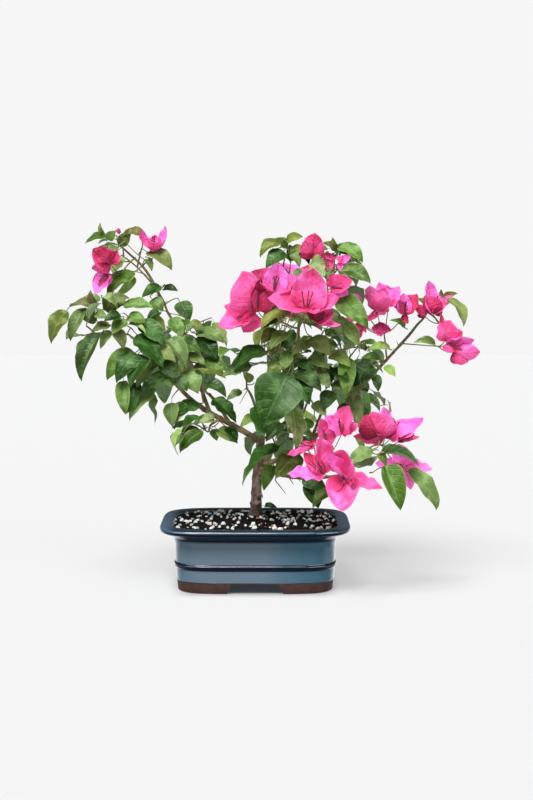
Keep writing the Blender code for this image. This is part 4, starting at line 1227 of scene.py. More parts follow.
for name, (limb, middle, half, count, longest) in massTable.items():
    rng = random.Random(name)
    twigs = twigPaths(name, limb, metres(middle), metres(half), count, rng)
    dealer = random.Random(name + " tints")
    shares = tintShares.get(name, usualShares)
    blades = []
    kept = []
    for order, twig in enumerate(twigs):
        rootRadius = twigRule["stemRadius"] if order == 0 else twigRule["twigRadius"]
        taper = (twigRule["twigEndRadius"] - rootRadius) / (len(twig) - 1)
        girths = [rootRadius + taper * step for step in range(len(twig))]
        if order and touches(tubeTree(twig, girths, 3), obstacles):
            continue
        kept.append([twig, girths, 0.0])
        for place, share, choices in leafPlaces(twig, rng, order == 0):
            tint = dealer.choices(tintNames, shares)[0]
            form = dealer.randrange(5)
            width = dealer.uniform(*ruleWidths)
            tone = dealer.random()
            for outward, upward, size in choices:
                found = setLeaf(name, place, outward, upward, longest * mm * size, blades)
                if found:
                    addLeaf(found, tint, form, width, tone)
                    kept[-1][2] = share
                    break
    rng = random.Random(name + " shoots")
    sway, roll = shootLook["sway"], shootLook["roll"]
    for member in kept:
        for step in range(shootLook["perTwig"]):
            leave = rng.uniform(*shootLook["leave"])
            root, heading = pointAlong(member[0], leave)
            side = randomSide(heading, rng)
            reach = rng.uniform(*shootLook["length"]) * mm
            toward = side + heading * shootLook["lean"] + up * shootLook["rise"]
            end = root + toward.normalized() * reach
            shoot = bend(root, root.lerp(end, 0.5) + up * shootLook["arch"] * mm, end, 3)
            count = rng.randint(*shootLook["leaves"])
            draws = []
            for leaf in range(count):
                place, ahead = pointAlong(shoot, (leaf + 1) / count)
                turn = Matrix.Rotation(leaf * golden + rng.uniform(-sway, sway), 3, ahead)
                outward = turn @ side + ahead * rng.uniform(*shootLook["forward"])
                outward -= up * rng.uniform(*shootLook["hang"])
                shrink = 1 - shootLook["shrink"] * leaf / count
                size = longest * mm * rng.uniform(*shootLook["leafShare"]) * shrink
                upward = up + outward.cross(up) * rng.uniform(-roll, roll)
                draws.append((place, outward, upward, size, rng.choices(tintNames, shares)[0],
                              rng.randrange(6), rng.uniform(*shootLook["widths"]), rng.random()))
            tree = tubeTree(shoot[1:], [shootLook["radius"]] * 3, 3)
            if not inOwnSpace(name, end) or touches(tree, obstacles):
                continue
            grown = 0
            for place, outward, upward, size, tint, form, width, tone in draws:
                found = setLeaf(name, place, outward, upward, size, blades)
                if found:
                    addLeaf(found, tint, form, width, tone)
                    grown += 1
            if grown:
                twigLines.append((shoot, shootLook["girths"]))
                member[2] = max(member[2], leave)
    for twig, girths, share in kept:
        if share:
            end, _ = pointAlong(twig, share)
            passed = [place for place in twig if (place - twig[0]).length < (end - twig[0]).length]
            twigLines.append((passed + [end], girths[:len(passed)] + [girths[-1]]))
print(f"leaves: {len(leaves)}")

joinGirths = [0.72, 0.62, 0.56, 0.5]  # of the twigs that carry the leaves that stand out
bareGirths = [0.7, 0.6, 0.5, 0.25]
# Bare twigs, each from its root to its tip.
bareTwigs = (
    ((21, -20, 113), (32, -28, 99)),
    ((35, -24, 117), (40, -30, 109)),
    ((-7, -30, 210), (-16, -36, 194)),
    ((126, -26, 192), (139, -34, 193)),
    ((139, -34, 193), (141, -38, 186)),
    ((140, -30, 192), (137, -34, 198)),
    ((44, -10, 162), (19, -16, 175)),
)

thick, thin = leaderGirth
for path in leaderPaths.values():
    last = len(path) - 1
    twigLines.append((path, [thick + (thin - thick) * step / last for step in range(len(path))]))


def nearestPlace(place):
    # The closest place on a limb, twig or stalk.
    return nearestOn(list(paths.values()) + [path for path, _ in twigLines + stalks], place)


joins = []
waiting = [leaf for leaf in leaves if "feature" in leaf]
waiting.sort(key=lambda leaf: (nearestPlace(leaf["place"]) - leaf["place"]).length)
for leaf in waiting:
    place = leaf["place"]
    root = nearestPlace(place)
    gap = (place - root).length
    lean = leaf["chord"].normalized() * gap * 0.1 + up * gap * 0.04
    twigLines.append((bend(root, root.lerp(place, 0.55) - lean, place, 3), joinGirths))
for start, tip in bareTwigs:
    start, tip = metres(start), metres(tip)
    joins.append(([nearestPlace(start), start, start.lerp(tip, 0.5), tip], bareGirths))

thornLook = {
    "spacing": 13,
    "along": (0.1, 0.98),
    "length": (4, 7),
    "lean": 0.4,  # towards the limb's end
    "girths": [0.6, 0.45, 0.12],
    "thickest": 3,  # limbs above this radius have none
}
rng = random.Random("thorns")
for name, path in paths.items():
    if name == "trunk" or radii[name][0] > thornLook["thickest"]:
        continue
    for order in range(int(pathLength(path) / (thornLook["spacing"] * mm))):
        place, heading = pointAlong(path, rng.uniform(*thornLook["along"]))
        toward = (randomSide(heading, rng) + heading * thornLook["lean"]).normalized()
        tip = place + toward * rng.uniform(*thornLook["length"]) * mm
        joins.append(([place, place.lerp(tip, 0.5), tip], thornLook["girths"]))
twigLines += joins


# Leaf blades
leafLook = {
    "stalk": 0.17,  # of the whole length
    "stalkRadius": 0.0115,
    "stalkTaper": (1.25, 1, 1, 0.4),
    "stalkDip": 0.012,
    "curlStart": 0.7,  # where the tip begins to curl
    "width": 0.55,
    "thickness": 0.008,
    "marks": (0.0, 0.04, 0.1, 0.2, 0.32, 0.45, 0.58, 0.7, 0.81, 0.91, 1.0),
    "halves": (0.0, 0.42, 0.72, 0.93, 1.0, 0.95, 0.81, 0.62, 0.4, 0.18, 0.0),
    "columns": (-1, -0.55, 0, 0.55, 1),
}
# Each form: start pitch, arch, fold, margin turned down, wave, waves, twist, tip curl, sideways sway.
leafForms = (
    (0.25, 0.75, 0.32, 0.14, 0.026, 2.2, 0.20, 0.6, 0.03),
    (0.40, 1.00, 0.66, 0.16, 0.018, 1.6, -0.30, 0.8, -0.05),
    (0.55, 1.55, 0.36, 0.16, 0.028, 2.0, 0.35, 0.5, 0.06),
    (0.20, 0.90, 0.48, 0.20, 0.034, 2.6, 0.75, 1.3, -0.08),
    (0.10, 0.45, 0.22, 0.12, 0.044, 2.8, -0.40, 1.0, 0.06),
    (0.30, 0.60, 0.85, 0.14, 0.018, 1.4, 0.25, 0.7, 0.05),
)


def bladeRows(pitch, arch, fold, turned, wave, waves, twist, curl, sway):
    # The upper face of a blade as rows of places, and the way each row faces.
    place = Vector((leafLook["stalk"], 0, 0))
    rows, ups = [], []
    before = 0
    for mark, half in zip(leafLook["marks"], leafLook["halves"]):
        stretch = (mark - before) * (1 - leafLook["stalk"])
        late = max(0, (mark + before) / 2 - leafLook["curlStart"])
        angle = pitch - arch * (mark + before) / 2 - curl * late ** 2 * 6
        ahead = Vector((math.cos(angle), 0, math.sin(angle)))
        place = place + ahead * stretch
        place.y = sway * mark * mark
        before = mark
        lean = Matrix.Rotation(twist * mark, 3, ahead)
        rise = lean @ Vector((-math.sin(angle), 0, math.cos(angle)))
        side = lean @ Vector((0, 1, 0))
        row = []
        for column in leafLook["columns"] if half else (0,):
            out = abs(column) * half * leafLook["width"] / 2
            lift = out * math.sin(fold) - turned * out * abs(column)
            phase = 0.7 if column > 0 else 2.1
            lift += wave * math.sin(2 * math.pi * waves * mark + phase) * column * column * half
            row.append(place + side * math.copysign(out * math.cos(fold), column) + rise * lift)
        rows.append(row)
        ups.append(rise)
    return rows, ups


def leafMesh(name, form):
    rows, ups = bladeRows(*form)
    blade = shell(name, rows, ups, leafLook["thickness"], leafLook["marks"])
    base = rows[0][0]
    dip = Vector((base.x * 0.5, 0, -leafLook["stalkDip"]))
    stalk = [Vector((0, 0, 0)), dip, base, base.lerp(rows[1][2], 0.8)]
    girths = [leafLook["stalkRadius"] / mm * taper for taper in leafLook["stalkTaper"]]
    rings = ringsAlong(stalk, girths, 3)
    stem = meshOf(name, *tubeParts(rings))
    stem.attributes.new("under", "BOOLEAN", "FACE")
    stem.uv_layers.new(name="UVMap")
    for spot in stem.uv_layers[0].data:
        spot.uv = (0.5, 0.0)
    stem.shade_smooth()
    mesh = joined(name, [blade, stem])
    tip = rows[-1][0]
    turn = Matrix.Rotation(-math.atan2(tip.y, tip.x), 4, "Z")
    mesh.transform(turn)
    tip = turn @ tip
    mesh.transform(Matrix.Rotation(math.atan2(tip.z, tip.x), 4, "Y"))
    mesh.transform(Matrix.Scale(1 / tip.length, 4))
    return mesh


def veinPattern(paint, count, slope, width):
    # 1 on the midrib and the side veins of a blade, from its own chart.
    chart, along, _ = paint.axes(paint.add("ShaderNodeUVMap", {"uv_map": "UVMap"}))
    across = abs(chart * 2 - 1)
    midrib = 1 - paint.step(across, 0.02, 0.09)
    saw = (along * count - across * slope).fract()
    side = 1 - paint.step(abs(saw - 0.5), 0.0, width)
    side = side * paint.step(across, 0.04, 0.12) * (1 - paint.step(across, 0.75, 1.0))
    return midrib, side, along, across, chart


def leafUpper(name, colour, pale, gloss):
    paint = Paint(name, {"Specular IOR Level": 0.26, "IOR": 1.45, "Specular Tint": (0.78, 1.0, 0.62)})
    tone = paint.tone()
    midrib, side, along, across, chart = veinPattern(paint, 7, 1.2, 0.16)
    patch = paint.cloud(0.012)
    dark = tuple(value * 0.36 for value in colour)
    light = tuple(value * 1.18 for value in colour)
    weight = colour[0] * 0.2 + colour[1] * 0.7
    dusty = (weight * 0.88, weight * 1.05, weight * 0.48)
    # painted shade: one half of the blade, on a side picked by its tone, is darkened as if the fold turned
    # it from the light
    half = abs(paint.step(chart, 0.46, 0.54) - paint.step((tone * 7).fract(), 0.49, 0.51))
    coats = (
        (paint.step((tone * 3.7).fract(), 0.5, 0.7) * 0.5, dusty),
        (half * 0.32, dark),
        # painted shade, darker towards the stalk
        ((1 - paint.step(along, 0.0, 0.45)) * 0.35, dark),
        # paler patches and margins: partly the blade's own mottling, partly painted highlight
        (paint.step(patch, 0.46, 0.66) * 0.5, pale),
        (paint.step(across, 0.8, 1.0) * 0.32, pale),
        (side * 0.05, pale),
        (midrib * 0.24, pale),
    )
    relief = (1 - side) * 0.7 + (1 - midrib) * 0.5 + paint.cloud(0.004, 2) * 0.5
    return paint.finish(paint.mix(tone, dark, light), coats, gloss + patch * 0.2, relief, 0.00025)


def leafUnder(name, colour, pale):
    paint = Paint(name, {"Specular IOR Level": 0.35})
    midrib, side, *_ = veinPattern(paint, 7, 1.2, 0.16)
    patch = paint.cloud(0.01, 2)
    coats = ((side * 0.2 + midrib * 0.45, pale),)
    shade = paint.mix(patch * 0.5, colour, pale)
    return paint.finish(shade, coats, 0.5 + patch * 0.2, side + midrib, 0.0004)


# Upper colour, paler colour of ribs and patches, roughness, underside.
leafTints = {
    # deep: partly a darker green of the leaves, partly painted shade
    "deep": ((0.022, 0.074, 0.008), (0.090, 0.200, 0.050), 0.22, "cool"),
    "mid": ((0.112, 0.238, 0.026), (0.310, 0.460, 0.170), 0.29, "cool"),
    "fresh": ((0.262, 0.404, 0.082), (0.540, 0.680, 0.330), 0.32, "cool"),
    "olive": ((0.170, 0.228, 0.036), (0.330, 0.390, 0.130), 0.36, "warm"),
    "bronze": ((0.220, 0.165, 0.040), (0.310, 0.290, 0.090), 0.40, "warm"),
}
undersides = {
    "cool": leafUnder("leafUnderCool", (0.220, 0.370, 0.150), (0.350, 0.500, 0.260)),
    "warm": leafUnder("leafUnderWarm", (0.270, 0.350, 0.110), (0.370, 0.440, 0.190)),
}

leafShelf = formShelf("leafForm", [leafMesh("leafForm", form) for form in leafForms])
for tint, (colour, pale, gloss, side) in leafTints.items():
    upper = leafUpper("leaf" + tint.capitalize(), colour, pale, gloss)
    spots = []
    for leaf in leaves:
        if leaf["tint"] == tint:
            length = leaf["chord"].length
            spots.append({"place": leaf["place"], "turn": lyingTurn(leaf["chord"], leaf["up"]).to_euler(),
                          "size": (length, length * leaf["width"], length), "form": leaf["form"],
                          "tone": leaf["tone"]})
    tree = instanceTree("leafSprays", leafShelf, [(upper, None), (undersides[side], "under")])
    mesh = grow(pointCloud(spots), tree, {"Scale": 1.0})
    addPiece("leaves" + tint.capitalize(), mesh, leafNodes)
clearShelf(leafShelf)


# Bracts, tubes and stalks
bractLook = {
    "marks": (0, 0.02, 0.06, 0.12, 0.19, 0.27, 0.36, 0.45, 0.54, 0.63, 0.71, 0.79, 0.86, 0.92, 0.97, 1),
    "halves": (0, 0.34, 0.64, 0.86, 0.97, 1.02, 1.02, 0.99, 0.93, 0.84, 0.73, 0.59, 0.43, 0.26, 0.1, 0),
    "columns": (-1, -0.85, -0.66, -0.44, -0.2, 0, 0.2, 0.44, 0.66, 0.85, 1),
    "thickness": 0.35,
    "fold": 0.12,
    "wave": (0.035, 0.08),  # of the length, at the margins
    "waves": (1.6, 3.2),
    "crumple": 0.062,
    "creases": ((1, 1), (2.6, 0.5), (5.5, 0.22)),  # how fine and how strong
    "curl": (-0.5, 1.8),  # how far the tip turns back
    "curlStart": 0.78,
    "sway": 0.05,
}


def bractMesh(order, bract):
    # One papery blade between its foot and its tip, cupped towards the way it faces.
    rng = random.Random(f"bract {order}")
    foot, zAxis, cup = bract["foot"], bract["facing"], bract["cup"]
    length = (bract["tip"] - foot).length
    xAxis = (bract["tip"] - foot) / length
    yAxis = zAxis.cross(xAxis)
    half = bract["width"] * length / 2 * min(cup, 1.4) / math.sin(min(cup, 1.4))
    wave, waves = rng.uniform(*bractLook["wave"]), rng.uniform(*bractLook["waves"])
    curl, sway = rng.uniform(*bractLook["curl"]), rng.uniform(-bractLook["sway"], bractLook["sway"])
    phases = {side: rng.uniform(0, 2 * math.pi) for side in (-1, 1)}
    drift = Vector((order * 7.3, order * 3.1, 0))
    rows, ups = [], []
    for mark, share in zip(bractLook["marks"], bractLook["halves"]):
        late = max(0, mark - bractLook["curlStart"])
        sag = bract["arch"] * math.sin(math.pi * mark) + curl * late ** 2 * (1 - mark) * 14
        middle = foot + (xAxis * mark - zAxis * sag + yAxis * sway * math.sin(math.pi * mark)) * length
        row = []
        for column in bractLook["columns"] if share else (0,):
            out = column * share
            across = half * math.sin(cup * out) / cup
            lift = half * (1 - math.cos(cup * out)) / cup + half * bractLook["fold"] * abs(out)
            ripple = math.sin(2 * math.pi * waves * mark + phases[1 if column > 0 else -1])
            lift += wave * length * ripple * abs(column) ** 3 * min(1, share * 1.3)
            near = Vector((mark * 3, column * 1.6, 0)) + drift
            for finer, weaker in bractLook["creases"]:
                lift += noise.noise(near * finer) * length * bractLook["crumple"] * weaker * share
            row.append(middle + yAxis * across + zAxis * lift)
        rows.append(row)
        ups.append(zAxis)
    mesh = shell("bract", rows, ups, bractLook["thickness"] * mm, bractLook["marks"])
    writeValues(mesh, "tone", "FLOAT", "POINT", [rng.random()] * len(mesh.vertices))
    return mesh


def bractPaper(name, colour, edge, throat, glow):
    # The bract glows by its own emission, painted light standing in for light shining through it.
    paint = Paint(name, {"Specular IOR Level": 0.22, "Sheen Weight": 0.15, "Sheen Roughness": 0.4,
                         "Sheen Tint": (1.0, 0.65, 0.9), "Emission Color": colour,
                         "Emission Strength": glow})
    midrib, side, along, across, _ = veinPattern(paint, 8, 2.4, 0.22)
    patch = paint.cloud(0.012)
    blush = paint.mix(paint.step(paint.cloud(0.022, 2), 0.40, 0.60), colour, edge)
    coats = (
        (paint.tone() * 0.3 + patch * 0.2, colour),
        (paint.step(across, 0.62, 1.0) * 0.5, edge),
        # painted shade: dark patches in the creases and darker towards the foot, inside the cup
        ((1 - paint.step(paint.cloud(0.015), 0.36, 0.50)) * 0.32, throat),
        ((1 - paint.step(along, 0.02, 0.5)) * 0.8, throat),
        (side * 0.05 + midrib * 0.14, throat),
    )
    relief = side * 0.22 + midrib * 0.7 + paint.cloud(0.0035) * 1.4
    return paint.finish(blush, coats, 0.52 + patch * 0.2, relief, 0.001)


# Colour, colour towards the edges, a dark colour for the veins and for painted shade at the foot and in the
# creases, and how strongly the bract glows, a painted glow standing in for light that shines through.
bractTints = {
    # pink is the plain colour; the violet row is a painted lit copy, the rose row a painted shaded copy,
    # the maroon row a painted shadowed copy
    "pink": ((0.84, 0.070, 0.255), (0.93, 0.200, 0.580), (0.50, 0.016, 0.085), 0.13),
    "rose": ((0.62, 0.036, 0.130), (0.84, 0.090, 0.330), (0.26, 0.006, 0.032), 0.06),
    "violet": ((0.88, 0.140, 0.520), (0.92, 0.270, 0.800), (0.72, 0.045, 0.220), 0.15),
    "maroon": ((0.34, 0.012, 0.055), (0.62, 0.040, 0.150), (0.16, 0.004, 0.018), 0.02),
}
for tint, (colour, edge, throat, glow) in bractTints.items():
    meshes = [bractMesh(order, bract) for order, bract in enumerate(bracts) if bract["tint"] == tint]
    paper = bractPaper("bract" + tint.capitalize(), colour, edge, throat, glow)
    addPiece("bracts" + tint.capitalize(), joined("bracts", meshes), blossomNodes, [paper])


def tubePaint():
    paint = Paint("flowerTube", {"Sheen Weight": 0.3, "Sheen Roughness": 0.5})
    patch = paint.cloud(0.003, 2)
    shade = paint.mix(patch, (0.085, 0.003, 0.016), (0.21, 0.010, 0.045))
    return paint.finish(shade, (), 0.5, patch, 0.0002)


def addStrands(name, strands, sides, material, nodes):
    sizes = {"Sides": sides, "Thickness": 1.0}
    addPiece(name, grow(lines(strands), strandTree(name, material), sizes), nodes)


tubeLook = {
    "marks": (0, 0.15, 0.4, 0.62, 0.85, 1.0),
    "radii": (0.4, 0.74, 0.8, 0.52, 0.64, 0.9),
    "sides": 7,
    "sag": 0.06,
}
tubeLines = []
for foot, inward, reach in tubes:
    path = [foot + inward * reach * mark - up * reach * tubeLook["sag"] * mark * mark
            for mark in tubeLook["marks"]]
    tubeLines.append((path, [radius * mm for radius in tubeLook["radii"]]))
addStrands("flowerTubes", tubeLines, tubeLook["sides"], tubePaint(), blossomNodes)


# Twigs
def shootPaint():
    paint = Paint("greenShoot", {"Specular IOR Level": 0.4})
    patch = paint.cloud(0.02)
    shade = paint.mix(paint.step(patch, 0.4, 0.62), (0.200, 0.120, 0.048), (0.170, 0.220, 0.060))
    return paint.finish(shade, (), 0.5 + patch * 0.25, paint.cloud(0.002, 2), 0.0002)


def smoothPath(path, steps):
    # The same line with more places on it, rounded by a Catmull-Rom curve.
    fine = []
    for order in range(len(path) - 1):
        before = path[max(order - 1, 0)]
        start, end = path[order], path[order + 1]
        after = path[min(order + 2, len(path) - 1)]
        for step in range(steps):
            t = step / steps
            bow = (2 * before - 5 * start + 4 * end - after) * t * t
            swing = (3 * start - before - 3 * end + after) * t ** 3
            fine.append(0.5 * (2 * start + (end - before) * t + bow + swing))
    return fine + [path[-1]]


def smoothValues(values, steps):
    fine = []
    for start, end in zip(values, values[1:]):
        fine += [start + (end - start) * step / steps for step in range(steps)]
    return fine + [values[-1]]


shoots = shootPaint()
strands = []
for path, girths in twigLines:
    fine = smoothPath(path, 3)
    strands.append((fine, [girth * mm for girth in smoothValues(girths, 3)]))
addStrands("leafTwigs", strands, 6, shoots, leafNodes)
strands = []
for path, (thick, thin) in stalks:
    fine = smoothPath(path, 3)
    strands.append((fine, [(thick + (thin - thick) * step / len(fine)) * mm for step in range(len(fine))]))
addStrands("blossomStalks", strands, 6, shoots, blossomNodes)


# Trunk and boughs
barkLook = {
    "trunkSides": 30,
    "trunkPitch": 1.3,
    "boughSides": 14,
    "boughPitch": 2.0,
    "thinSides": 9,
    "flareLobes": 5,
    "flareDepth": 0.2,
    "flareHeight": 12,
    "trunkRidge": 0.55,
    "boughRidge": 0.28,
    "crackWidth": 0.42,
    "crackLength": 9,
    "knotPitch": 15,
    "knotSwell": 0.22,
    "knotLength": 1.6,
    "collarSwell": 0.35,  # where a limb leaves its parent
    "collarLength": 5,
    "thickest": 2.2,  # limbs above this radius are boughs
}


def barkPaint(name, low, high, light):
    paint = Paint(name, {"Specular IOR Level": 0.3})
    streaks = paint.add("ShaderNodeMapping", None, {"Vector": paint.spot, "Scale": (1, 1, 0.3)})
    grain = paint.cloud(0.003, 4, 0.65, streaks)
    _, _, height = paint.axes(paint.spot)
    coats = (
        (paint.step(paint.cloud(0.014, 2), 0.5, 0.7) * 0.7, light),
        ((1 - paint.step(height, 0.070, 0.094)) * 0.72, (0.020, 0.013, 0.010)),
    )
    shade = paint.mix(paint.step(grain, 0.3, 0.7), low, high)
    return paint.finish(shade, coats, 0.72 + grain * 0.2, grain, 0.0006)


def barkTube(name, path, girths, sides, pitch, ridge):
    # A limb with fissures that run along it and a swelling at each old leaf scar.
    rng = random.Random(name + " bark")
    length = pathLength(path)
    steps = max(3, round(length / len(path) / (pitch * mm)))
    line = smoothPath(path, steps)
    values = smoothValues(girths, steps)
    rings = []
    passed = 0
    drift = Vector((rng.uniform(0, 50), rng.uniform(0, 50), rng.uniform(0, 50)))
    knot = rng.uniform(4, barkLook["knotPitch"])
    knots = []
    while knot * mm < length:
        knots.append((knot, rng.uniform(0, 2 * math.pi)))
        knot += barkLook["knotPitch"] * rng.uniform(0.7, 1.3)
    for step, ((place, across, side), girth) in enumerate(zip(squareTo(line), values)):
        if step:
            passed += (place - line[step - 1]).length / mm
        ring = []
        for turn in range(sides):
            angle = 2 * math.pi * turn / sides
            out = across * math.cos(angle) + side * math.sin(angle)
            near = Vector((math.cos(angle) * girth * barkLook["crackWidth"],
                           math.sin(angle) * girth * barkLook["crackWidth"],
                           passed / barkLook["crackLength"]))
            crack = abs(noise.noise(near + drift))
            fine = noise.noise(near * 2.3 + drift)
            radius = girth + ridge * (0.8 * crack + 0.5 * fine - 0.3)
            for at, toward in knots:
                swell = math.exp(-((passed - at) / barkLook["knotLength"]) ** 2)
                facing = 0.4 + 0.6 * max(0, math.cos(angle - toward))
                radius += barkLook["knotSwell"] * girth * swell * facing
            if name != "trunk":
                radius *= 1 + barkLook["collarSwell"] * math.exp(-passed / barkLook["collarLength"])
            ring.append(place + out * radius * mm)
        rings.append(ring)
    if name == "trunk":
        foot = line[0]
        for ring in rings:
            for place in ring:
                fade = max(0, 1 - (place.z - foot.z) / (barkLook["flareHeight"] * mm))
                turn = math.atan2(place.y - foot.y, place.x - foot.x)
                swell = 1 + barkLook["flareDepth"] * fade * math.cos(barkLook["flareLobes"] * turn)
                place.x = foot.x + (place.x - foot.x) * swell
                place.y = foot.y + (place.y - foot.y) * swell
    return rings


# Torn stubs near the trunk's foot: places and radii.
stubTable = (
    (((3, 6, 91), (6, 3, 94), (8, 2, 90)), (2.4, 1.3, 0.3)),
    (((1, 4, 84), (5, 2, 85), (6, 2, 84)), (3.0, 1.8, 0.7)),
)


def limbMesh(names):
    corners, faces = [], []

    def take(rings):
        places, made = tubeParts(rings)
        faces.extend(tuple(len(corners) + corner for corner in face) for face in made)
        corners.extend(places)

    if "trunk" in names:
        for places, girths in stubTable:
            take(barkTube("stub", [metres(place) for place in places], girths, 8, 1.0, 0.3))
    for name in names:
        girth = radii[name][0]
        if name == "trunk":
            sides, pitch, ridge = barkLook["trunkSides"], barkLook["trunkPitch"], barkLook["trunkRidge"]
        else:
            sides = barkLook["boughSides"] if girth > barkLook["thickest"] else barkLook["thinSides"]
            pitch, ridge = barkLook["boughPitch"], barkLook["boughRidge"] * min(1, girth / 3)
        take(barkTube(name, paths[name], radii[name], sides, pitch, ridge))
    mesh = meshOf("limbs", corners, faces)
    mesh.shade_smooth()
    return mesh


oldBark = barkPaint("oldBark", (0.055, 0.036, 0.028), (0.230, 0.165, 0.125), (0.400, 0.320, 0.240))
youngBark = barkPaint("youngBark", (0.110, 0.066, 0.034), (0.310, 0.210, 0.110), (0.400, 0.310, 0.170))
greenBark = barkPaint("greenBark", (0.140, 0.100, 0.045), (0.270, 0.230, 0.100), (0.260, 0.280, 0.110))
boughs = [name for name in limbTable if radii[name][0] > barkLook["thickest"]]
others = [name for name in limbTable if name not in boughs]
addPiece("trunkBark", limbMesh(["trunk"]), ["trunk"], [oldBark])
addPiece("boughBark", limbMesh(boughs), boughs, [youngBark])
addPiece("shootBark", limbMesh(others), others, [greenBark])


# Pot
potLook = {
    "length": 200,
    "depth": 156,
    "power": 4.6,
    "around": 176,
    "outside": ((0, 18.5), (10.6, 17.6), (11.4, 17.0), (24, 16.2), (25.2, 14.6), (28.4, 14.6),
                (29.6, 16), (48, 15.6), (55.5, 13.8), (59.5, 9.5), (61, 2.5), (63, 0), (66, 0), (68, 2)),
    "inside": ((68, 12), (66.5, 13.8), (60, 19.3), (17, 23)),
    "rounding": 1.6,
    "arris": 0.5,
    "arrisAngle": 50,  # edges that turn by more are rounded by the arris
    "sharpAngle": 38,  # and those that turn by more than this show as edges
    "footHeight": 10,
    "frontChannel": (60, 49),
    "sideChannel": (42, 34),
    "channelRounding": 3,
}


def planPlace(turn, inset=0):
    # A place on the pot's outline, a superellipse, in millimetres.
    return [math.copysign(abs(part) ** (2 / potLook["power"]), part) * (potLook[size] / 2 - inset)
            for part, size in ((math.cos(turn), "length"), (math.sin(turn), "depth"))]


def planTurns(count):
    # Angles that space places evenly along the outline.
    dense = [2 * math.pi * step / 6000 for step in range(6001)]
    places = [Vector(planPlace(turn)) for turn in dense]
    travelled = [0]
    for before, after in zip(places, places[1:]):
        travelled.append(travelled[-1] + (after - before).length)
    turns = []
    order = 0
    for step in range(count):
        wanted = travelled[-1] * step / count
        while travelled[order + 1] < wanted:
            order += 1
        share = (wanted - travelled[order]) / (travelled[order + 1] - travelled[order])
        turns.append(dense[order] + share * (dense[order + 1] - dense[order]))
    return turns


def planRing(turns, inset, height):
    return [metres((*planPlace(turn, inset), height)) for turn in turns]


def rounded(profile, radius):
    # A profile of (height, inset) with its corners rounded.
    points = [Vector(knot) for knot in profile]
    smooth = [points[0]]
    for before, knot, after in zip(points, points[1:], points[2:]):
        back, ahead = before - knot, after - knot
        reach = min(radius, back.length * 0.46, ahead.length * 0.46)
        start, end = knot + back.normalized() * reach, knot + ahead.normalized() * reach
        for step in range(5):
            t = step / 4
            smooth.append(start.lerp(knot, t).lerp(knot.lerp(end, t), t))
    return smooth + [points[-1]]


def channelBar(widths, alongX):
    # A bar with rounded upper corners, wider at the bottom, that runs past both faces.
    height = potLook["footHeight"]
    side = [(-widths[0] / 2, -2), (-widths[1] / 2, height), (widths[1] / 2, height), (widths[0] / 2, -2)]
    section = rounded([(y, x) for x, y in side], potLook["channelRounding"])
    reach = potLook["length"] * 0.6
    rings = []
    for end in (-reach, reach):
        ring = [(end, point[1], point[0]) if alongX else (-point[1], end, point[0]) for point in section]
        rings.append([metres(place) for place in ring])
    mesh = meshOf("channel", *tubeParts(rings))
    fixer = bmesh.new()
    fixer.from_mesh(mesh)
    bmesh.ops.recalc_face_normals(fixer, faces=fixer.faces)
    fixer.to_mesh(mesh)
    fixer.free()
    return mesh


def potMesh():
    turns = planTurns(potLook["around"])
    profile = rounded(potLook["outside"] + potLook["inside"], potLook["rounding"])
    mesh = meshOf("pot", *tubeParts([planRing(turns, inset, height) for height, inset in profile]))
    for widths, alongX in ((potLook["frontChannel"], False), (potLook["sideChannel"], True)):
        bar = hold("channel", channelBar(widths, alongX))
        mesh = modified(mesh, "BOOLEAN", {"operation": "DIFFERENCE", "object": bar, "solver": "EXACT"})
        bpy.data.objects.remove(bar)
    mesh = modified(mesh, "BEVEL", {"width": potLook["arris"] * mm, "segments": 2, "limit_method": "ANGLE",
                                    "angle_limit": math.radians(potLook["arrisAngle"])})
    mesh.shade_smooth()
    mesh.set_sharp_from_angle(angle=math.radians(potLook["sharpAngle"]))
    return mesh


def glazePaint():
    paint = Paint("slateGlaze", {"IOR": 1.38, "Coat Roughness": 0.05})
    x, _, z = paint.axes(paint.spot)
    wander = paint.cloud(0.045, 2)
    fine = paint.cloud(0.0035)
    foot = 1 - paint.step(z + (wander - 0.5) * 0.0025, 0.0106, 0.0114)
    # painted reflection: a soft lighter, greyer band across the front, teal towards the right
    paintedReflection = paint.band(x - seat.x + (wander - 0.5) * 0.05, -0.078, 0.030, 0.026)
    ends = paint.step(abs(x - seat.x), 0.080, 0.094)
    # under the lip and over the raised band: partly glaze pooled there, partly painted shade
    poolingAndShade = paint.band(z, 0.0535, 0.0658, 0.0018) + paint.band(z, 0.0234, 0.0303, 0.0006)
    coats = (
        (paint.step(fine, 0.55, 0.75) * 0.12, (0.15, 0.20, 0.24)),
        (poolingAndShade, (0.004, 0.010, 0.022)),
        # the rim's top: dark, with a painted highlight towards both ends
        (paint.step(z, 0.0658, 0.0674), paint.mix(ends, (0.006, 0.016, 0.028), (0.058, 0.112, 0.185))),
        (foot, paint.mix(paint.cloud(0.006), (0.024, 0.010, 0.008), (0.080, 0.036, 0.028))),
    )
    paint.wear("Coat Weight", (1 - foot) * 0.35)
    shade = paint.mix(paintedReflection, (0.054, 0.130, 0.182), (0.126, 0.180, 0.230))
    return paint.finish(shade, coats, 0.10 + fine * 0.05 + foot * 0.6, fine * (0.12 + foot), 0.0003,
                        paint.bump(wander, 0.001))


addPiece("potShell", potMesh(), ["pot"], [glazePaint()])


# Soil and grit
soilLook = {
    "edge": 66,
    "wallInset": 14.55,
    "bend": 60,
    "bendInset": 19.65,
    "floor": 17.4,
    "floorInset": 23.35,
    "top": 70,
    "rings": 30,
    "around": 132,
    "rough": 1.0,
    "lumps": 4,
    "crumbs": 1.8,
    "crumbShare": 0.6,
    "sink": 0.5,
}
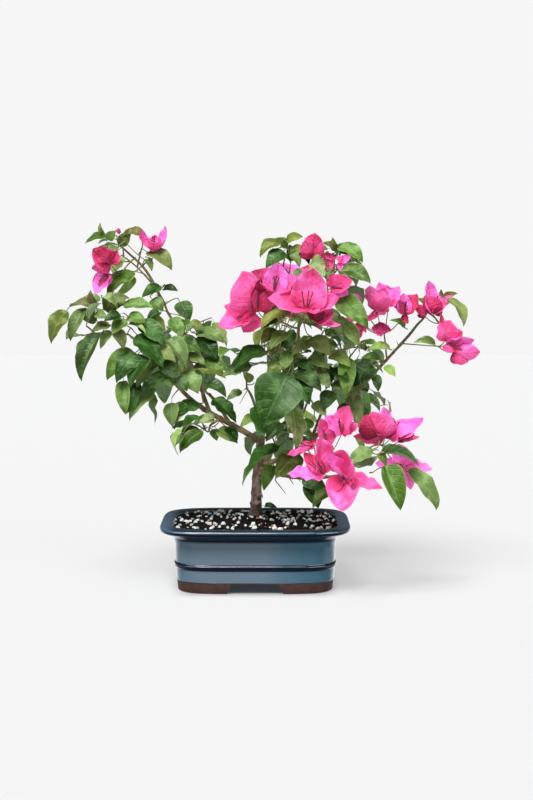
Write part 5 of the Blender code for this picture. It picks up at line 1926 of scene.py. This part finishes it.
# Each grit: spacing, densest, smallest and largest, dark colour, light colour.
gritTable = {
    "paleGrit": (5.1, 25000, 2.8, 5.8, (0.50, 0.52, 0.46), (0.90, 0.92, 0.88)),
    "blueGrit": (6.4, 14000, 2.4, 4.6, (0.18, 0.24, 0.27), (0.52, 0.62, 0.66)),
    "tanGrit": (9.0, 5000, 2.0, 3.6, (0.22, 0.095, 0.035), (0.46, 0.24, 0.10)),
    "darkCrumb": (2.2, 80000, 1.2, 3.2, (0.002, 0.002, 0.003), (0.014, 0.011, 0.011)),
}


def soilMesh():
    turns = planTurns(soilLook["around"])
    wall = planRing(turns, soilLook["wallInset"], soilLook["edge"])
    rings = [planRing(turns, soilLook["floorInset"], soilLook["floor"]),
             planRing(turns, soilLook["bendInset"], soilLook["bend"]), wall]
    foot = metres(trunkKnots[0][:2] + (0,))
    for step in range(1, soilLook["rings"]):
        share = step / soilLook["rings"]
        height = soilLook["edge"] + (soilLook["top"] - soilLook["edge"]) * math.sin(share * math.pi / 2)
        ring = []
        for place in wall:
            spot = place.lerp(foot, share)
            lump = noise.noise(Vector((spot.x, spot.y, 0)) / (soilLook["lumps"] * mm))
            crumb = noise.noise(Vector((spot.x, spot.y, 0.3)) / (soilLook["crumbs"] * mm))
            lump += soilLook["crumbShare"] * crumb
            fade = min(1, step / 2)
            rise = height + (lump * soilLook["rough"] - soilLook["sink"]) * fade
            ring.append(Vector((spot.x, spot.y, rise * mm)))
        rings.append(ring)
    mesh = meshOf("soil", *tubeParts(rings))
    mesh.shade_smooth()
    return mesh


def soilPaint():
    paint = Paint("darkSoil", {"Specular IOR Level": 0.03})
    crumb = paint.cloud(0.002, 4, 0.7)
    shade = paint.mix(crumb, (0.0025, 0.002, 0.003), (0.016, 0.012, 0.011))
    return paint.finish(shade, (), 0.8 + crumb * 0.2, crumb, 0.001)


def gritPaint(name, low, high):
    paint = Paint(name, {"Specular IOR Level": 0.04})
    return paint.finish(paint.mix(paint.cloud(0.004), low, high), (), 0.9, paint.cloud(0.0008, 2), 0.0003)


stoneLook = {
    "shapes": 6,
    "corners": (0.72, 1.12),  # how far each stands out
    "long": 1.15,
    "flat": 0.78,
    "spread": 1.2,  # of a stone's corners beyond the size it is given
}


def gritShape(seed):
    # One angular stone.
    made = bmesh.new()
    bmesh.ops.create_icosphere(made, subdivisions=1, radius=1)
    rng = random.Random(f"stone {seed}")
    for corner in made.verts:
        corner.co *= rng.uniform(*stoneLook["corners"])
        corner.co.x *= stoneLook["long"]
        corner.co.z *= stoneLook["flat"]
    mesh = bpy.data.meshes.new("stone")
    made.to_mesh(mesh)
    made.free()
    return mesh


def gritTree(name, shelf, material, seed, patch, least):
    # Scatters stones over the faces that look up, without crowding, and more where a cloud is dense.
    sizes = {"Spacing": 0.002, "Density": 10000.0, "Smallest": 0.001, "Largest": 0.002}
    graph, source = newTree(name, sizes)
    place = graph.add("GeometryNodeInputPosition")
    _, _, rise = graph.axes(graph.add("GeometryNodeInputNormal"))
    _, _, height = graph.axes(place)
    bare = graph.maths("GREATER_THAN", rise, 0.5) * graph.maths("GREATER_THAN", height, 0.062)
    cloud = graph.cloud(0.016, 2, where=graph.vectors("ADD", place, (seed, 0, 0)))
    drift = graph.maths("MAXIMUM", graph.step(cloud, *patch), least)
    spots = graph.add("GeometryNodeDistributePointsOnFaces", {"distribute_method": "POISSON"},
                      {"Mesh": source, "Selection": bare, "Distance Min": source.other("Spacing"),
                       "Density Max": source.other("Density"), "Density Factor": drift, "Seed": seed})
    turn = graph.add("FunctionNodeRandomValue", {"data_type": "FLOAT_VECTOR"},
                     {0: (0, 0, 0), 1: (6.283, 6.283, 6.283), "Seed": seed + 1})
    size = graph.add("FunctionNodeRandomValue", {"data_type": "FLOAT"},
                     {2: source.other("Smallest"), 3: source.other("Largest"), "Seed": seed + 2}, 1)
    pick = graph.add("FunctionNodeRandomValue", {"data_type": "INT"},
                     {4: 0, 5: len(shelf.objects) - 1, "Seed": seed + 3}, 2)
    return finishTree(graph, graph.setForms(spots, shelf, pick, turn, size), [(material, None)])


soilBed = soilMesh()
stones = formShelf("stone", [gritShape(seed) for seed in range(stoneLook["shapes"])])
for order, (name, (spacing, density, small, large, low, high)) in enumerate(gritTable.items()):
    patch, least = ((0, 0.1), 1) if name == "darkCrumb" else ((0.42, 0.62), 0.12)
    tree = gritTree(name, stones, gritPaint(name, low, high), 20 + 10 * order, patch, least)
    sizes = {"Spacing": spacing * mm, "Density": float(density),
             "Smallest": small * mm / 2 * stoneLook["spread"],
             "Largest": large * mm / 2 * stoneLook["spread"]}
    addPiece(name, grow(soilBed.copy(), tree, sizes))
clearShelf(stones)
addPiece("soilBed", soilBed, ["soil"], [soilPaint()])


# Light, floor and camera
studio = {
    "sky": 0.23,
    "backdrop": 0.922,
    "floor": 0.30,
    "floorGlow": 0.470,
    "key": 4.3,
    "keyAngle": 30,
    "keyTurn": (34, 0, -24),
    "fill": 0.38,
    "fillTurn": (58, 0, 42),
    "dim": 0.05,  # what gloss reflects between the soft boxes
    "behind": 0.05,
    "lowBehind": 1.1,
}
# Soft boxes that gloss reflects: lowest and highest x, y and z of a direction, softness, strength.
softBoxes = (
    ((-1.2, -0.95), (-1.1, 1.1), (-0.3, 0.6), 0.15, 1.0),
    ((0.95, 1.2), (-1.1, 1.1), (-0.3, 0.6), 0.15, 1.6),
    ((0.05, 0.30), (-0.75, 0.0), (0.74, 0.96), 0.05, 11.0),
    ((-0.90, -0.24), (-0.95, -0.20), (0.20, 0.80), 0.06, 6.5),
    ((0.34, 0.92), (-0.95, -0.20), (0.20, 0.66), 0.06, 8.5),
)


def skyLight(graph):
    # How bright each direction is for gloss.
    parts = graph.axes(graph.add("ShaderNodeTexCoord").other("Generated"))
    low = 1 - graph.step(parts[2], -0.08, 0.05)
    glow = graph.step(parts[1], 0.1, 0.9) * (low * studio["lowBehind"] + studio["behind"]) + studio["dim"]
    for *spans, soft, strength in softBoxes:
        window = graph.maths("ADD", strength, 0)
        for part, (low, high) in zip(parts, spans):
            window = window * graph.band(part, low, high, soft)
        glow = glow + window
    return glow


def buildStudio():
    scene = bpy.context.scene
    world = bpy.data.worlds.new("studio")
    world.use_nodes = True
    scene.world = world
    graph = Graph(world.node_tree)
    for node in list(world.node_tree.nodes):
        world.node_tree.nodes.remove(node)

    def glow(colour, strength):
        return graph.add("ShaderNodeBackground", None, {"Color": colour, "Strength": strength})

    sky = glow((0.985, 0.99, 1), studio["sky"])
    ray = graph.add("ShaderNodeLightPath")
    for kind, other in (("Is Glossy Ray", glow((0.93, 0.97, 1), skyLight(graph))),
                        ("Is Camera Ray", glow((1, 1, 1), studio["backdrop"]))):
        sky = graph.add("ShaderNodeMixShader", None, {0: ray.other(kind), 1: sky, 2: other})
    graph.add("ShaderNodeOutputWorld", None, {0: sky})
    for name in ("key", "fill"):
        light = bpy.data.lights.new(name, "SUN")
        light.energy = studio[name]
        light.angle = math.radians(studio["keyAngle"])
        lamp = hold(name, light)
        lamp.rotation_euler = [math.radians(value) for value in studio[name + "Turn"]]
    floorMesh = meshOf("floor", [(-4, -4, 0), (4, -4, 0), (4, 4, 0), (-4, 4, 0)], [(0, 1, 2, 3)])
    paint = Paint("floor", {"Roughness": 0.9, "Specular IOR Level": 0.1,
                            "Emission Strength": studio["floorGlow"]})
    x, y, _ = paint.axes(paint.vectors("SUBTRACT", paint.spot, tuple(seat)))
    # painted contact shadow: the floor glows less under the pot
    under = (1 - paint.step(abs(x), 0.060, 0.092)) * (1 - paint.step(abs(y), 0.048, 0.080))
    paint.wear("Emission Color", paint.mix(under, (1, 1, 1), (0.06, 0.07, 0.09)))
    shade = studio["floor"]
    paint.wear("Base Color", paint.mix(paint.cloud(0.05, 2), (shade,) * 3, (shade * 1.01,) * 3))
    floorMesh.materials.append(paint.material)
    floor = hold("floor", floorMesh)
    floor.location.z = -0.0005
    floor.visible_glossy = False
    camera = bpy.data.cameras.new("camera")
    camera.lens = cameraLens
    camera.sensor_width = 36
    viewer = hold("camera", camera)
    viewer.location = seat + Vector(cameraAt)
    viewer.rotation_euler = (math.radians(90 - cameraTilt), 0, 0)
    scene.camera = viewer
    scene.view_settings.view_transform = "Standard"


buildStudio()
print("studio set")
